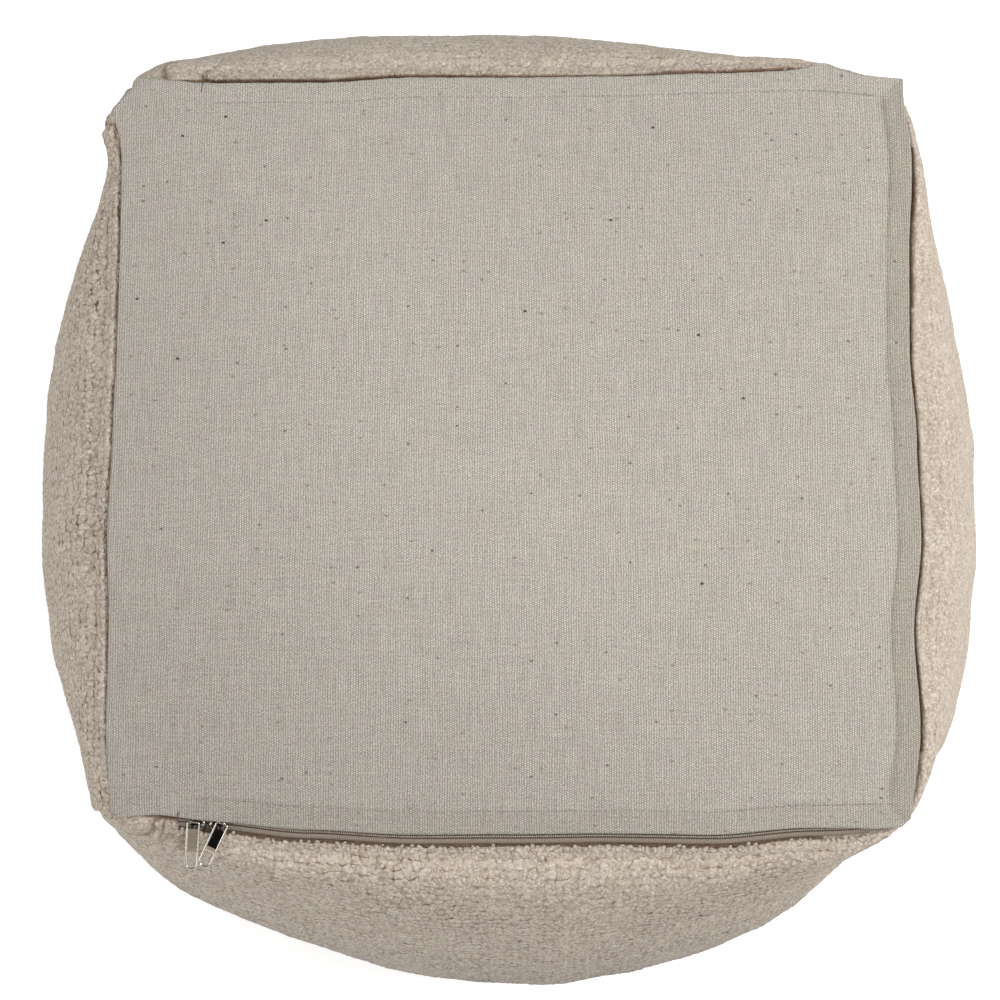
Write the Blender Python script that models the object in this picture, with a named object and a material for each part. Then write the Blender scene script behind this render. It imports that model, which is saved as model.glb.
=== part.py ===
"""Cube pouf stool, turned over on its seat, so that its canvas base and the zip round it face up.

Metres, +Z up. The near side (-Y) carries the start of the zip with its two sliders, the zip
then runs along the right side (+X) and the far side (+Y), and the left side (-X) is a plain
seam. The origin is under the middle of the pouf, on the surface that its seat lies on.
"""
import math
from collections import namedtuple

import bmesh
import bpy
from mathutils import Matrix, Vector

MM = 0.001

# Driving sizes
HEIGHT = 0.430              # seat to canvas base
SEAT_HALF = 0.222           # half the seat panel's width
SEAT_CROWN = 0.030          # the seat's edge seam stands this far above its flat spot
PANEL_T = 2.0 * MM          # canvas
HEM_EXTRA = 0.8 * MM        # the turned hem stands this far above the field
PANEL_DROP = 9.0 * MM       # the canvas falls this far from its middle to its rim
CORNER_DROOP = 6.0 * MM     # and this much further to its corners
GAP = 0.4 * MM              # between pieces that touch
TAPE_T = 1.2 * MM
SEAM_SINK = 3.0 * MM        # the upright corner seams draw the cover in by this much

# The widest girth is at this share of the side's height, and the side bulges as a rounded
# power curve above and below it.
GIRTH_AT = 0.47
SIDE_POWER = 2.0
CORNER_POWER = 2.8
SIDE_STEPS = 14             # rings up a side
EDGE_BLEND = 14             # power of the height at which a side turns out to its edge roll
CORNER_BLEND = 9            # power of t at which a side's edge takes its corner's shape

# Rings of the seat panel, as shares of its width, from its flat spot out
SEAT_RINGS = (0.60, 0.76, 0.89, 0.97)

# Rings of the canvas and of the filling under it, as shares of the rim's outline
PANEL_RINGS = (0.972, 0.94, 0.80, 0.66, 0.50)
HEM_RING = 0.94             # the hem ends at this ring
HEM_STEP = 0.006            # and its step down is this much narrower
FLAT_RING = 0.50            # the canvas is flat inside this ring

# Stations along one side, from its first corner to just before its last
STATIONS = (-1.0, -0.965, -5 / 6, -4 / 6, -3 / 6, -2 / 6, -1 / 6, 0.0,
            1 / 6, 2 / 6, 3 / 6, 4 / 6, 5 / 6, 0.965)
ZIP_START = 2               # station of the near side where the zip begins
ZIP_STOP = 2                # it stops this many stations before the far side's last corner

# A side, counted anticlockwise from above: how far its middle bulges, how much further that
# bulge leans to its last corner, how square it is along its length, and the waves of the
# canvas's edge in mm, at eight even steps from the first corner.
Side = namedtuple("Side", "name out bulge skew square waves")
SIDES = (
    Side("near", Vector((0, -1, 0)), 0.0800, 0.16, 2.19, (0, 1.5, 5.6, 7.7, 6.9, 5.9, 6.1, 1.7, 0)),
    Side("right", Vector((1, 0, 0)), 0.0640, -0.30, 2.27, (0, 5.4, 2.2, 6.7, 4.7, 1.1, 1.4, 3.6, 0)),
    Side("far", Vector((0, 1, 0)), 0.0560, 0.12, 2.27, (0, 3.6, 2.3, 1.0, 0.8, 1.4, -1.3, 0, 0)),
    Side("left", Vector((-1, 0, 0)), 0.0530, 0.28, 2.27, (0, 0.4, 0.2, 0.8, 2.2, 3.9, 2.0, 2.4, 0)),
)

# The first corner of each side: its place at the rim, and how far the cover swells past it
# half way down.
Corner = namedtuple("Corner", "x y swell")
CORNERS = (
    Corner(-0.2244, -0.2128, 0.0064),
    Corner(0.2213, -0.2172, -0.0090),
    Corner(0.2277, 0.2158, -0.0060),
    Corner(-0.2249, 0.2122, 0.0168),
)

# Sections of the cover's top edge in mm, from the side up and over to under the canvas: how
# far out from the canvas's edge and how far up from its underside. Along the zip the cover
# turns in a roll and leaves a channel for the tape; at the plain seam it is a narrow welt; at
# the corners it tucks under the canvas.
EdgeRow = namedtuple("EdgeRow", "zip_out zip_up seam_out seam_up corner_out corner_up")
COVER_EDGE = (
    EdgeRow(14.0, -8.0, 8.0, -6.0, 0.5, -7.6),
    EdgeRow(13.4, -4.2, 7.2, -1.8, -0.3, -6.4),
    EdgeRow(11.0, -1.4, 4.6, 0.4, -1.5, -5.4),
    EdgeRow(8.9, -3.0, 2.0, -0.3, -3.0, -4.8),
    EdgeRow(8.4, -7.8, 0.8, -2.2, -4.5, -4.2),
    EdgeRow(0.6, -2.3, -1.5, -1.2, -6.5, -3.4),
    EdgeRow(-9.4, -2.1, -6.0, -0.7, -10.0, -2.8),
    EdgeRow(-10.4, -0.5, -9.4, -0.5, -12.0, -0.7),
)

# Section of the zip's tape in mm, measured the same way: flat under the canvas, then sloping
# down into the channel, and drawn in under the canvas at the corners.
TapeRow = namedtuple("TapeRow", "out up corner_out corner_up")
TAPE_BACK = TapeRow(-7.6, -0.4, -9.2, -0.9)
TAPE_BEND = TapeRow(0.4, -0.5, -6.6, -1.0)
TAPE_FRONT = TapeRow(7.2, -5.0, -5.0, -1.8)

# Zip hardware, metres
COIL_R = 1.7 * MM
COIL_STEPS = 5              # flats round its half circle
COIL_SHARE = 0.36           # the coil's place down the sloping half of the tape
SLIDER_SHARE = 0.52         # and the sliders'
SLIDER = Vector((9.6, 6.4, 3.0)) * MM
SLIDER_EDGE = 0.5 * MM
SLIDER_LUG = Vector((4.2, 2.0, 2.4)) * MM
SLIDER_SHARES = (0.1105, 0.1362)    # places along the near side, from its first corner
LUG_SHIFTS = (-2.0 * MM, 2.0 * MM)  # each lug stands at its slider's far end from the other
PULL_L = 28.0 * MM
PULL_W = 7.4 * MM
PULL_T = 1.2 * MM
PULL_EYE = Vector((5.2, 3.2)) * MM      # the hole round the slider's lug
PULL_CORNER = 1.4 * MM
PULL_WINDOW = 9.0 * MM
PULL_RIM = 1.1 * MM
PULL_TURNS = (-4.0, -18.0)  # degrees that each pull swings along the zip
PULL_DIP = 23.0             # degrees that the pulls point down, over the cover's roll
PULL_LIFT = 1.0 * MM        # clears the slider under the eye's inner end

COLOURS = {
    "cover": ((0.60, 0.52, 0.42), 0.95, 0.0),
    "canvas": ((0.47, 0.42, 0.36), 0.90, 0.0),
    "zip_tape": ((0.17, 0.13, 0.10), 0.85, 0.0),
    "zip_coil": ((0.16, 0.13, 0.11), 0.45, 0.0),
    "nickel": ((0.62, 0.60, 0.57), 0.25, 1.0),
}


def power_bump(x, power):
    """1 at x = 0, falling to 0 at x = -1 and 1, with upright ends."""
    return max(0.0, 1.0 - abs(x) ** power) ** 0.5


def side_height_share(share):
    """-1 at the seat's edge, 0 at the girth and 1 at the rim."""
    reach = 1.0 - GIRTH_AT if share > GIRTH_AT else GIRTH_AT
    return (share - GIRTH_AT) / reach


def underside(t, scale=1.0):
    """Height of the canvas's underside at t on the ring of this scale."""
    slope = max(0.0, (scale - FLAT_RING) / (1.0 - FLAT_RING))
    return HEIGHT - PANEL_T - (PANEL_DROP + CORNER_DROOP * t ** 6) * slope ** 2


def wave(side, t):
    """The canvas edge's wave at t, as a smooth curve through the side's eight steps."""
    steps = side.waves
    place = (t + 1.0) / 2.0 * (len(steps) - 1)
    low = min(int(place), len(steps) - 2)
    part = place - low
    ease = part * part * (3.0 - 2.0 * part)
    return (steps[low] + (steps[low + 1] - steps[low]) * ease) * MM


def corner_weight(t):
    """0 along a side, rising steeply to 1 at its corners."""
    return abs(t) ** CORNER_BLEND


def is_zipped(index, station):
    """Whether the zip runs past this station."""
    name = SIDES[index].name
    if name == "near":
        return station >= ZIP_START
    if name == "far":
        return station <= len(STATIONS) - ZIP_STOP
    return name == "right"


def outward(index, t):
    """Level direction away from the pouf: the side's own, turning to the diagonal at a corner."""
    side = SIDES[index].out
    other = SIDES[(index + (1 if t > 0 else -1)) % 4].out
    return side.lerp(side + other, corner_weight(t))


def rim_point(index, t, scale=1.0):
    """The canvas's outline, on the level, as a share of its full size."""
    first, last = CORNERS[index], CORNERS[(index + 1) % 4]
    flat = Vector((first.x, first.y, 0)).lerp(Vector((last.x, last.y, 0)), (t + 1.0) / 2.0)
    return (flat + SIDES[index].out * wave(SIDES[index], t)) * scale


def edge_values(row, index, station):
    """How far out and up this row of the cover's top edge is at a station."""
    zipped = is_zipped(index, station)
    out, up = (row.zip_out, row.zip_up) if zipped else (row.seam_out, row.seam_up)
    weight = corner_weight(STATIONS[station])
    return ((out + (row.corner_out - out) * weight) * MM,
            (up + (row.corner_up - up) * weight) * MM)


def seat_point(index, t, scale=1.0):
    """The seat panel's outline, at the seat's level, as a share of its full size."""
    first = SIDES[index].out + SIDES[(index - 1) % 4].out
    last = SIDES[index].out + SIDES[(index + 1) % 4].out
    return first.lerp(last, (t + 1.0) / 2.0) * SEAT_HALF * scale


def side_point(index, station, share):
    """A point on a side, at a share of its height from the seat's edge to the rim."""
    t = STATIONS[station]
    side = SIDES[index]
    first, last = CORNERS[index], CORNERS[(index + 1) % 4]
    rise = share * share * (3.0 - 2.0 * share)
    level = side_height_share(share)
    bump = power_bump(level, SIDE_POWER)
    swell = power_bump(level, CORNER_POWER)
    base = seat_point(index, t).lerp(rim_point(index, t), rise)
    lean = (1.0 + side.skew * t) * (1.0 - abs(t) ** side.square)
    corner = first.swell + (last.swell - first.swell) * (t + 1.0) / 2.0
    edge_out, edge_up = edge_values(COVER_EDGE[0], index, station)
    point = base + side.out * side.bulge * bump * lean
    point += outward(index, t) * (edge_out * share ** EDGE_BLEND)
    point += base / SEAT_HALF * corner * swell
    point -= base / SEAT_HALF * SEAM_SINK * swell * (abs(t) == 1.0)
    top = underside(t) + edge_up
    point.z = SEAT_CROWN + (top - SEAT_CROWN) * share
    return point


def lay_ring(bm, place):
    """A closed ring of vertices, one for each station of each side."""
    return [bm.verts.new(place(index, station))
            for index in range(4) for station in range(len(STATIONS))]


def join_rings(bm, rings):
    """Walls between the rings, each split the same way so that close pieces stay parallel."""
    for low, high in zip(rings, rings[1:]):
        for i in range(len(low)):
            j = (i + 1) % len(low)
            bm.faces.new((low[i], low[j], high[j]))
            bm.faces.new((low[i], high[j], high[i]))


def cover_rings(bm):
    """The stuffed cover's rings, from the seat's flat spot to under the canvas."""
    rings = []
    for scale in SEAT_RINGS:
        slope = (scale - SEAT_RINGS[0]) / (1.0 - SEAT_RINGS[0])

        def seat(index, station, scale=scale, slope=slope):
            point = seat_point(index, STATIONS[station], scale)
            return point + Vector((0, 0, SEAT_CROWN * slope ** 2))
        rings.append(lay_ring(bm, seat))
    for step in range(SIDE_STEPS + 1):
        share = 0.5 - 0.5 * math.cos(math.pi * step / SIDE_STEPS)
        rings.append(lay_ring(bm, lambda index, station: side_point(index, station, share)))
    for row in COVER_EDGE[1:]:

        def edge(index, station, row=row):
            out, up = edge_values(row, index, station)
            t = STATIONS[station]
            return rim_point(index, t) + outward(index, t) * out + Vector((0, 0, underside(t) + up))
        rings.append(lay_ring(bm, edge))
    for scale in PANEL_RINGS[1:]:

        def lining(index, station, scale=scale):
            t = STATIONS[station]
            return rim_point(index, t, scale) + Vector((0, 0, underside(t, scale) - GAP))
        rings.append(lay_ring(bm, lining))
    return rings


def finish(bm, name, finish_name, collection):
    """Turn a bmesh into a named object with its own material."""
    bmesh.ops.recalc_face_normals(bm, faces=bm.faces)
    mesh = bpy.data.meshes.new(name)
    bm.to_mesh(mesh)
    bm.free()
    mesh.materials.append(surface(name, finish_name))
    mesh.shade_smooth()
    mesh.set_sharp_from_angle(angle=math.radians(40))
    obj = bpy.data.objects.new(name, mesh)
    collection.objects.link(obj)
    return obj


def surface(name, finish_name):
    """A plain material in one of the listed finishes."""
    colour, roughness, metallic = COLOURS[finish_name]
    material = bpy.data.materials.new(name)
    material.use_nodes = True
    shader = material.node_tree.nodes["Principled BSDF"]
    shader.inputs["Base Color"].default_value = (*colour, 1.0)
    shader.inputs["Roughness"].default_value = roughness
    shader.inputs["Metallic"].default_value = metallic
    return material


def build_cover(collection):
    """The filled body: four bulging sides, the crowned seat and the turned top edge."""
    bm = bmesh.new()
    rings = cover_rings(bm)
    join_rings(bm, rings)
    bm.faces.new(list(reversed(rings[0])))
    bm.faces.new(rings[-1])
    return finish(bm, "cover", "cover", collection)


def build_canvas(collection):
    """The base panel: a sheet with a raised hem on its three zipped sides."""
    bm = bmesh.new()
    scales = (1.0,) + PANEL_RINGS

    def face(scale, thick=0.0, hem=0.0):
        def place(index, station):
            t = STATIONS[station]
            extra = hem if is_zipped(index, station) else 0.0
            return rim_point(index, t, scale) + Vector((0, 0, underside(t, scale) + thick + extra))
        return place

    field = [scale for scale in reversed(scales) if scale < HEM_RING] + [HEM_RING - HEM_STEP]
    hem = [scale for scale in reversed(scales) if scale >= HEM_RING]
    rings = [lay_ring(bm, face(scale, PANEL_T)) for scale in field]
    rings += [lay_ring(bm, face(scale, PANEL_T, HEM_EXTRA)) for scale in hem]
    rings += [lay_ring(bm, face(scale)) for scale in scales]
    join_rings(bm, rings)
    bm.faces.new(list(reversed(rings[0])))
    bm.faces.new(rings[-1])
    return finish(bm, "base_canvas", "canvas", collection)


def zip_route():
    """(side, t) along the zip, from the near side's start to the far side's stop."""
    route = []
    for index in range(3):
        for station in range(len(STATIONS)):
            if is_zipped(index, station):
                route.append((index, STATIONS[station]))
    return route


def channel_point(index, t, section):
    """A point of the zip's channel, from its place (out, up) in mm in the section."""
    return (rim_point(index, t) + outward(index, t) * section.x * MM
            + Vector((0, 0, underside(t) + section.y * MM)))


def tape_section(row, t):
    """Where a row of the tape lies in the section at t."""
    return Vector((row.out, row.up)).lerp(Vector((row.corner_out, row.corner_up)),
                                          corner_weight(t))


def tape_slope(t, share):
    """A place on the tape's sloping half, with unit vectors down it and off it."""
    bend, front = tape_section(TAPE_BEND, t), tape_section(TAPE_FRONT, t)
    run = (front - bend).normalized()
    return bend.lerp(front, share), run, Vector((-run.y, run.x))


def sweep(bm, sections):
    """A closed solid through like sections, with flat ends."""
    loops = [[bm.verts.new(point) for point in section] for section in sections]
    for low, high in zip(loops, loops[1:]):
        for i in range(len(low)):
            j = (i + 1) % len(low)
            bm.faces.new((low[i], low[j], high[j], high[i]))
    bm.faces.new(list(reversed(loops[0])))
    bm.faces.new(loops[-1])


def build_tape(collection):
    """The zip's woven tape, flat under the canvas and sloping down to the cover's roll."""
    bm = bmesh.new()
    sections = []
    for index, t in zip_route():
        top = [tape_section(row, t) for row in (TAPE_BACK, TAPE_BEND, TAPE_FRONT)]
        bottom = [place - Vector((0, TAPE_T / MM)) for place in reversed(top)]
        sections.append([channel_point(index, t, place) for place in top + bottom])
    sweep(bm, sections)
    return finish(bm, "zip_tape", "zip_tape", collection)


def coil_section(t):
    """The closed coil's half-round outline on the tape, smaller where it tucks in at a corner."""
    middle, run, square = tape_slope(t, COIL_SHARE)
    radius = COIL_R / MM * (1.0 - 0.6 * corner_weight(t))
    outline = []
    for step in range(COIL_STEPS + 1):
        turn = math.pi * step / COIL_STEPS
        outline.append(middle + run * radius * math.cos(turn)
                       + square * (GAP / MM + radius * 0.9 * math.sin(turn)))
    return outline


def build_coil(collection):
    """The closed coil: a half-round bead on the tape, from the sliders to the zip's end."""
    start = SLIDER_SHARES[-1] * 2.0 - 1.0 + SLIDER.x / SEAT_HALF
    route = [(0, start)] + [(i, t) for i, t in zip_route() if i > 0 or t > start]
    bm = bmesh.new()
    sweep(bm, [[channel_point(index, t, place) for place in coil_section(t)]
               for index, t in route])
    return finish(bm, "zip_coil", "zip_coil", collection)


def slider_frame(share):
    """World matrix of a slider: X along the zip, Y down the tape, Z off the tape."""
    t = share * 2.0 - 1.0
    middle, run, _ = tape_slope(t, SLIDER_SHARE)
    along = (rim_point(0, t + 0.02) - rim_point(0, t - 0.02)).normalized()
    down = (SIDES[0].out * run.x + Vector((0, 0, run.y))).normalized()
    off = down.cross(along)
    if off.z < 0:
        off = -off
    frame = Matrix((along, off.cross(along), off)).transposed().to_4x4()
    frame.translation = channel_point(0, t, middle) + off * (GAP + SLIDER.z / 2)
    return frame


def build_slider(number, share, collection):
    """A slider: its closed body with softened edges, and the lug that holds the pull."""
    bm = bmesh.new()
    bmesh.ops.create_cube(bm, size=1.0, matrix=Matrix.Diagonal((*SLIDER, 1.0)))
    bmesh.ops.bevel(bm, geom=bm.edges[:], offset=SLIDER_EDGE, affect="EDGES", segments=1,
                    profile=0.5, material=-1)
    top = max(bm.faces, key=lambda face: face.calc_center_median().z)
    wall = (SLIDER.y - SLIDER_LUG.y) / 2 - SLIDER_EDGE
    bmesh.ops.inset_individual(bm, faces=[top], thickness=wall, use_even_offset=True)
    inset_length = SLIDER.x - SLIDER.y + SLIDER_LUG.y
    bmesh.ops.scale(bm, vec=(SLIDER_LUG.x / inset_length, 1, 1), verts=top.verts)
    bmesh.ops.translate(bm, vec=(LUG_SHIFTS[number - 1], 0, 0), verts=top.verts)
    lug = bmesh.ops.extrude_discrete_faces(bm, faces=[top])["faces"][0]
    bmesh.ops.translate(bm, vec=(0, 0, SLIDER_LUG.z), verts=lug.verts)
    bmesh.ops.transform(bm, matrix=slider_frame(share), verts=bm.verts)
    return finish(bm, f"slider_{number}", "nickel", collection)


def tab_outline(length, width, near_radius, steps):
    """A flat tab along Y from 0: corners of near_radius at 0 and a round end at its length."""
    half = width / 2
    centres = ((0.0, length - half, half, 0.0, math.pi),
               (near_radius - half, near_radius, near_radius, math.pi, math.pi / 2),
               (half - near_radius, near_radius, near_radius, math.pi * 1.5, math.pi / 2))
    points = []
    for x, y, radius, first, turn in centres:
        for step in range(steps + 1):
            angle = first + turn * step / steps
            points.append((x + radius * math.cos(angle), y + radius * math.sin(angle)))
    return points


def build_pull(number, share, turn, collection):
    """A pull: a flat tab with round ends, an eye over the slider's lug and an open window."""
    curve = bpy.data.curves.new(f"pull_{number}", "CURVE")
    curve.dimensions = "2D"
    curve.fill_mode = "BOTH"
    curve.extrude = PULL_T / 2
    rim = PULL_RIM
    eye_x, eye_y = PULL_EYE
    eye = ((-eye_x / 2, rim), (eye_x / 2, rim), (eye_x / 2, rim + eye_y), (-eye_x / 2, rim + eye_y))
    window = [(x, y + PULL_L - PULL_WINDOW - rim)
              for x, y in tab_outline(PULL_WINDOW, PULL_W - 2 * rim, PULL_CORNER / 2, 5)]
    for outline in (tab_outline(PULL_L, PULL_W, PULL_CORNER, 6), eye, window):
        spline = curve.splines.new("POLY")
        spline.points.add(len(outline) - 1)
        for point, (x, y) in zip(spline.points, outline):
            point.co = (x, y, 0, 1)
        spline.use_cyclic_u = True
    curve.materials.append(surface(f"pull_{number}", "nickel"))
    obj = bpy.data.objects.new(f"pull_{number}", curve)
    collection.objects.link(obj)
    frame = slider_frame(share)
    dip = math.radians(PULL_DIP)
    lay = Matrix((Vector((-1, 0, 0)), Vector((0, -math.cos(dip), -math.sin(dip))),
                  Vector((0, -math.sin(dip), math.cos(dip))))).transposed().to_4x4()
    lift = frame.to_3x3() @ Vector((LUG_SHIFTS[number - 1], 0, SLIDER.z / 2 + PULL_LIFT + PULL_T / 2))
    eye_middle = Vector((0, rim + eye_y / 2, 0))
    spin = Matrix.Rotation(math.radians(turn), 4, "Z")
    obj.matrix_world = (Matrix.Translation(frame.translation + lift)
                        @ lay @ spin @ Matrix.Translation(-eye_middle))
    return obj


def centre_on_origin(collection):
    """Slide every piece so that the cover's box is centred over the origin."""
    bpy.context.view_layer.update()
    xs, ys = [], []
    for vert in bpy.data.objects["cover"].data.vertices:
        xs.append(vert.co.x)
        ys.append(vert.co.y)
    shift = Matrix.Translation((-(min(xs) + max(xs)) / 2, -(min(ys) + max(ys)) / 2, 0))
    for obj in collection.objects:
        obj.matrix_world = shift @ obj.matrix_world


def main():
    for obj in list(bpy.data.objects):
        bpy.data.objects.remove(obj)
    collection = bpy.data.collections.new("cube_pouf_stool")
    bpy.context.scene.collection.children.link(collection)
    build_cover(collection)
    build_canvas(collection)
    build_tape(collection)
    build_coil(collection)
    for number, share in enumerate(SLIDER_SHARES, 1):
        build_slider(number, share, collection)
        build_pull(number, share, PULL_TURNS[number - 1], collection)
    centre_on_origin(collection)


main()
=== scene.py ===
"""Looks of the cube pouf stool: turned over on its seat, with its canvas base, the zip round
three sides of it and the two parked sliders facing up. Metres, +Z up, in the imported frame."""
import math
from collections import namedtuple

import bmesh
import bpy
import numpy as np
from mathutils import Matrix, Vector


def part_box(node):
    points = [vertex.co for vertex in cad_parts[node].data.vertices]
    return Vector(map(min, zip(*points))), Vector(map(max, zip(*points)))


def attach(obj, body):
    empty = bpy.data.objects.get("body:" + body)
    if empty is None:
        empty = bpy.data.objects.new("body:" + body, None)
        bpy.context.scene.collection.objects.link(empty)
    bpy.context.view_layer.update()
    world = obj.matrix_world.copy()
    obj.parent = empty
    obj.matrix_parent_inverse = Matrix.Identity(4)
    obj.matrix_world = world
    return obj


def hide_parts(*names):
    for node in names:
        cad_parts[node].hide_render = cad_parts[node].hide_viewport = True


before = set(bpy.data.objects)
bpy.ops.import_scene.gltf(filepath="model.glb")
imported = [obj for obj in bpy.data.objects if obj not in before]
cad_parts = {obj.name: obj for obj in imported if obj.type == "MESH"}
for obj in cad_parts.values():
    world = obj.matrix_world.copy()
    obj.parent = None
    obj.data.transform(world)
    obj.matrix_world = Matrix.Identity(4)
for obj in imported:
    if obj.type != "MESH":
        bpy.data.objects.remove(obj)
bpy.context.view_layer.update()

MM = 0.001

# ---------------------------------------------------------------- the pouf's driving sizes
# The solids follow the same sizes; the soft parts have a finer outline here.
HEIGHT = 0.430
SEAT_HALF = 0.222
SEAT_CROWN = 0.030
SEAT_FLAT = 0.60            # the seat is flat inside this share of its width
PANEL_T = 2.0 * MM          # the canvas with its backing
HEM_EXTRA = 0.8 * MM        # what the doubled hem adds to it
PANEL_DROP = 9.0 * MM       # from the canvas's flat middle down to its edge
CORNER_DROOP = 6.0 * MM     # and further down at its corners
FLAT_RING = 0.50            # the canvas is flat inside this share of its width
SEAM_SINK = 3.0 * MM
SEAM_REACH = 0.045          # in t, beside a corner seam, where the cover dips into it
SEAM_POWER = 2.2
GIRTH_AT = 0.47             # the widest place, as a share of the height
SIDE_POWER = 2.0
CORNER_POWER = 2.8
# How late along a side or up it a change sets in: the power that its place is raised to
EDGE_BLEND = 14
CORNER_BLEND = 9
TUCK_BLEND = 16
WAVE_BLEND = 8
# The seat's corners, rounded off: how narrow, how high up it reaches, how far in and how far up
CORNER_ROUND = 9
CORNER_RISE = 0.13
CORNER_PULL = 0.065
CORNER_LIFT = 9.0 * MM
GAP = 0.4 * MM              # between a slider and the tape
# Places along a side, by which the canvas's outline is set on the solids'
STATIONS = np.array((-1, -0.965, -5 / 6, -4 / 6, -3 / 6, -2 / 6, -1 / 6, 0,
                     1 / 6, 2 / 6, 3 / 6, 4 / 6, 5 / 6, 0.965))

# Per side: its outward direction, how far it bulges, how the bulge leans along it and how square
# it is, then mm at even places along it: the canvas's outline past a straight edge, how much
# further out the stuffing stands, and how far the turned edge leans in over the tape.
Side = namedtuple("Side", "name out bulge skew square waves fill lean")
SIDES = (
    Side("near", (0, -1, 0), 0.0800, 0.16, 2.19,
         waves=(0, 1.5, 5.6, 7.7, 6.9, 5.9, 6.1, 1.7, 0),
         fill=(-9.0, 4.7, 6.0, 5.0, 3.6, 3.5, 3.8, 2.2, 1.2,
               1.2, -2.4, -2.8, -3.4, -1.7, 0.9, 2.7, 0.0),
         lean=(2.0, 3.2, 2.8, 2.6, 2.5, 2.6, 2.5, 2.3, 0)),
    Side("right", (1, 0, 0), 0.0640, -0.30, 2.27,
         waves=(0, 5.4, 2.2, 6.7, 4.7, 1.1, 1.4, 3.6, 0),
         fill=(-15.8, -9.6, -1.2, -1.7, -2.4, -4.9, -4.2, -3.9, -1.4,
               0.8, 1.1, 0.5, 0.0, -3.0, -6.2, -15.6, -19.1),
         lean=(0, 7.6, 8.3, 8.3, 8.3, 8.3, 8.2, 7.6, 7.6)),
    Side("far", (0, 1, 0), 0.0560, 0.12, 2.27,
         waves=(0, 3.0, 1.0, -0.9, -1.7, -1.7, -4.9, -5.0, 0),
         fill=(-21.0, -8.2, 0.0, 0.4, 3.2, 3.6, 5.9, 7.8, 8.6,
               8.4, 9.7, 12.0, 13.6, 16.6, 17.6, 20.0, 17.2),
         lean=(7.2, 7.2, 7.6, 7.6, 7.5, 7.0, 6.2, 6.0, 5.0)),
    Side("left", (-1, 0, 0), 0.0530, 0.28, 2.27,
         waves=(0, 0.4, 0.2, 0.8, 2.2, 3.9, 2.0, 2.4, 0),
         fill=(12.0, 0.6, -2.0, 6.6, 15.0, 17.3, 16.6, 15.0, 14.0,
               11.7, 11.6, 9.0, 9.3, 7.3, 7.0, 12.3, 21.0),
         lean=(0,) * 9),
)
NEAR, RIGHT, FAR, LEFT = range(4)

# Per corner: its place, and how far its top is drawn in (mm)
Corner = namedtuple("Corner", "x y tuck")
CORNERS = (
    Corner(-0.2244, -0.2128, (0.0, 0.0)),
    Corner(0.2213, -0.2172, (-3.5, 4.0)),
    Corner(0.2277, 0.2158, (-6.0, -6.0)),
    Corner(-0.2249, 0.2165, (6.6, -5.6)),
)

# Sections of the cover's top edge in mm: out from the canvas's edge and up from its underside
EdgeRow = namedtuple("EdgeRow", "zip_out zip_up seam_out seam_up corner_out corner_up")
COVER_EDGE = (
    EdgeRow(15.0, -5.2, 8.0, -6.2, 0.5, -7.6),
    EdgeRow(13.2, -2.6, 6.6, -3.4, -0.3, -6.4),
    EdgeRow(11.0, -1.4, 4.4, -0.6, -1.5, -5.4),
    EdgeRow(8.9, -3.0, 2.2, 0.9, -3.0, -4.8),
    EdgeRow(8.4, -7.8, 1.0, -0.6, -4.5, -4.2),
    EdgeRow(0.6, -2.3, -1.5, -1.8, -6.5, -3.4),
)
LEANING_ROWS = 5            # of these, that lean in over the tape

# Where the stuffing rolls out over the plain seam: side, place t from -1 to 1 along it, how wide
# in t, how far out and how far up
Roll = namedtuple("Roll", "index t width out up")
ROLLS = (
    Roll(LEFT, -0.850, 0.055, 6.0 * MM, 3.6 * MM),
    Roll(FAR, 0.86, 0.06, 1.6 * MM, 1.6 * MM),
)
ROLLING_ROWS = 4            # of the same rows, that such a roll moves

# Sections of the zip's tape in mm: out from the canvas's edge and up from its underside
TapeRow = namedtuple("TapeRow", "out up corner_out corner_up")
TAPE_BACK = TapeRow(-7.6, -0.4, -9.2, -0.9)
TAPE_BEND = TapeRow(0.4, -0.5, -6.6, -1.0)
TAPE_FRONT = TapeRow(7.2, -5.0, -5.0, -1.8)
TAPE_T = 1.2 * MM

# Down the slope of the tape: the coil's middle and the sliders' middle
COIL_SHARE = 0.29
SLIDER_SHARE = 0.52
SLIDER = Vector((9.6, 6.4, 3.0)) * MM
SLIDER_SHARES = (0.1105, 0.1362)        # of the near side's length
LUG_SHIFTS = (-2.0 * MM, 2.0 * MM)      # of each slider's bridge, along the zip
PULL_L = 28.0 * MM
PULL_W = 7.4 * MM
PULL_T = 1.2 * MM           # with its rim
PULL_EYE = 3.2 * MM
PULL_WINDOW = 9.0 * MM
PULL_RIM = 1.1 * MM         # between a pull's end and its window or eye
PULL_TURNS = (-4.0, -25.0)  # degrees, from straight down the near side
PULL_DIP = 23.0             # degrees, down the cover's slope
PULL_LIFT = 1.0 * MM

# ---------------------------------------------------------------- what the looks add
# The zip starts here on the near side and ends here on the far side.
ZIP_START_T = -0.82
ZIP_END_T = 0.80
ZIP_EASE = 0.05             # and its edge takes over from the plain seam within this much

# Boucle: loops of yarn in uneven rows across the cloth.
LOOP_W = 4.7 * MM
ROW_H = 5.4 * MM
LOOP_CHAOS = 0.62           # 0: even rows, 1: no order
WANDER = (5.0 * MM, 3.0 * MM)
KNOTS = 480.0               # knots in a metre of yarn
LOOP_RELIEF = 0.52 * MM
DENTS = 1.0 * MM            # of the stuffing, a hand wide
LUMPS = 0.7 * MM            # of the stuffing, a finger wide
GRIT = 0.16 * MM
PUCKERS = 0.9 * MM          # along the seams
TOP_TURN = 14.0 * MM        # of a panel's length, turned in over its top edge
PANEL_GRID = (288, 276)
SEAT_GRID = 204
SEED = 5450


def lerp(a, b, share):
    return a + (b - a) * share


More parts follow.
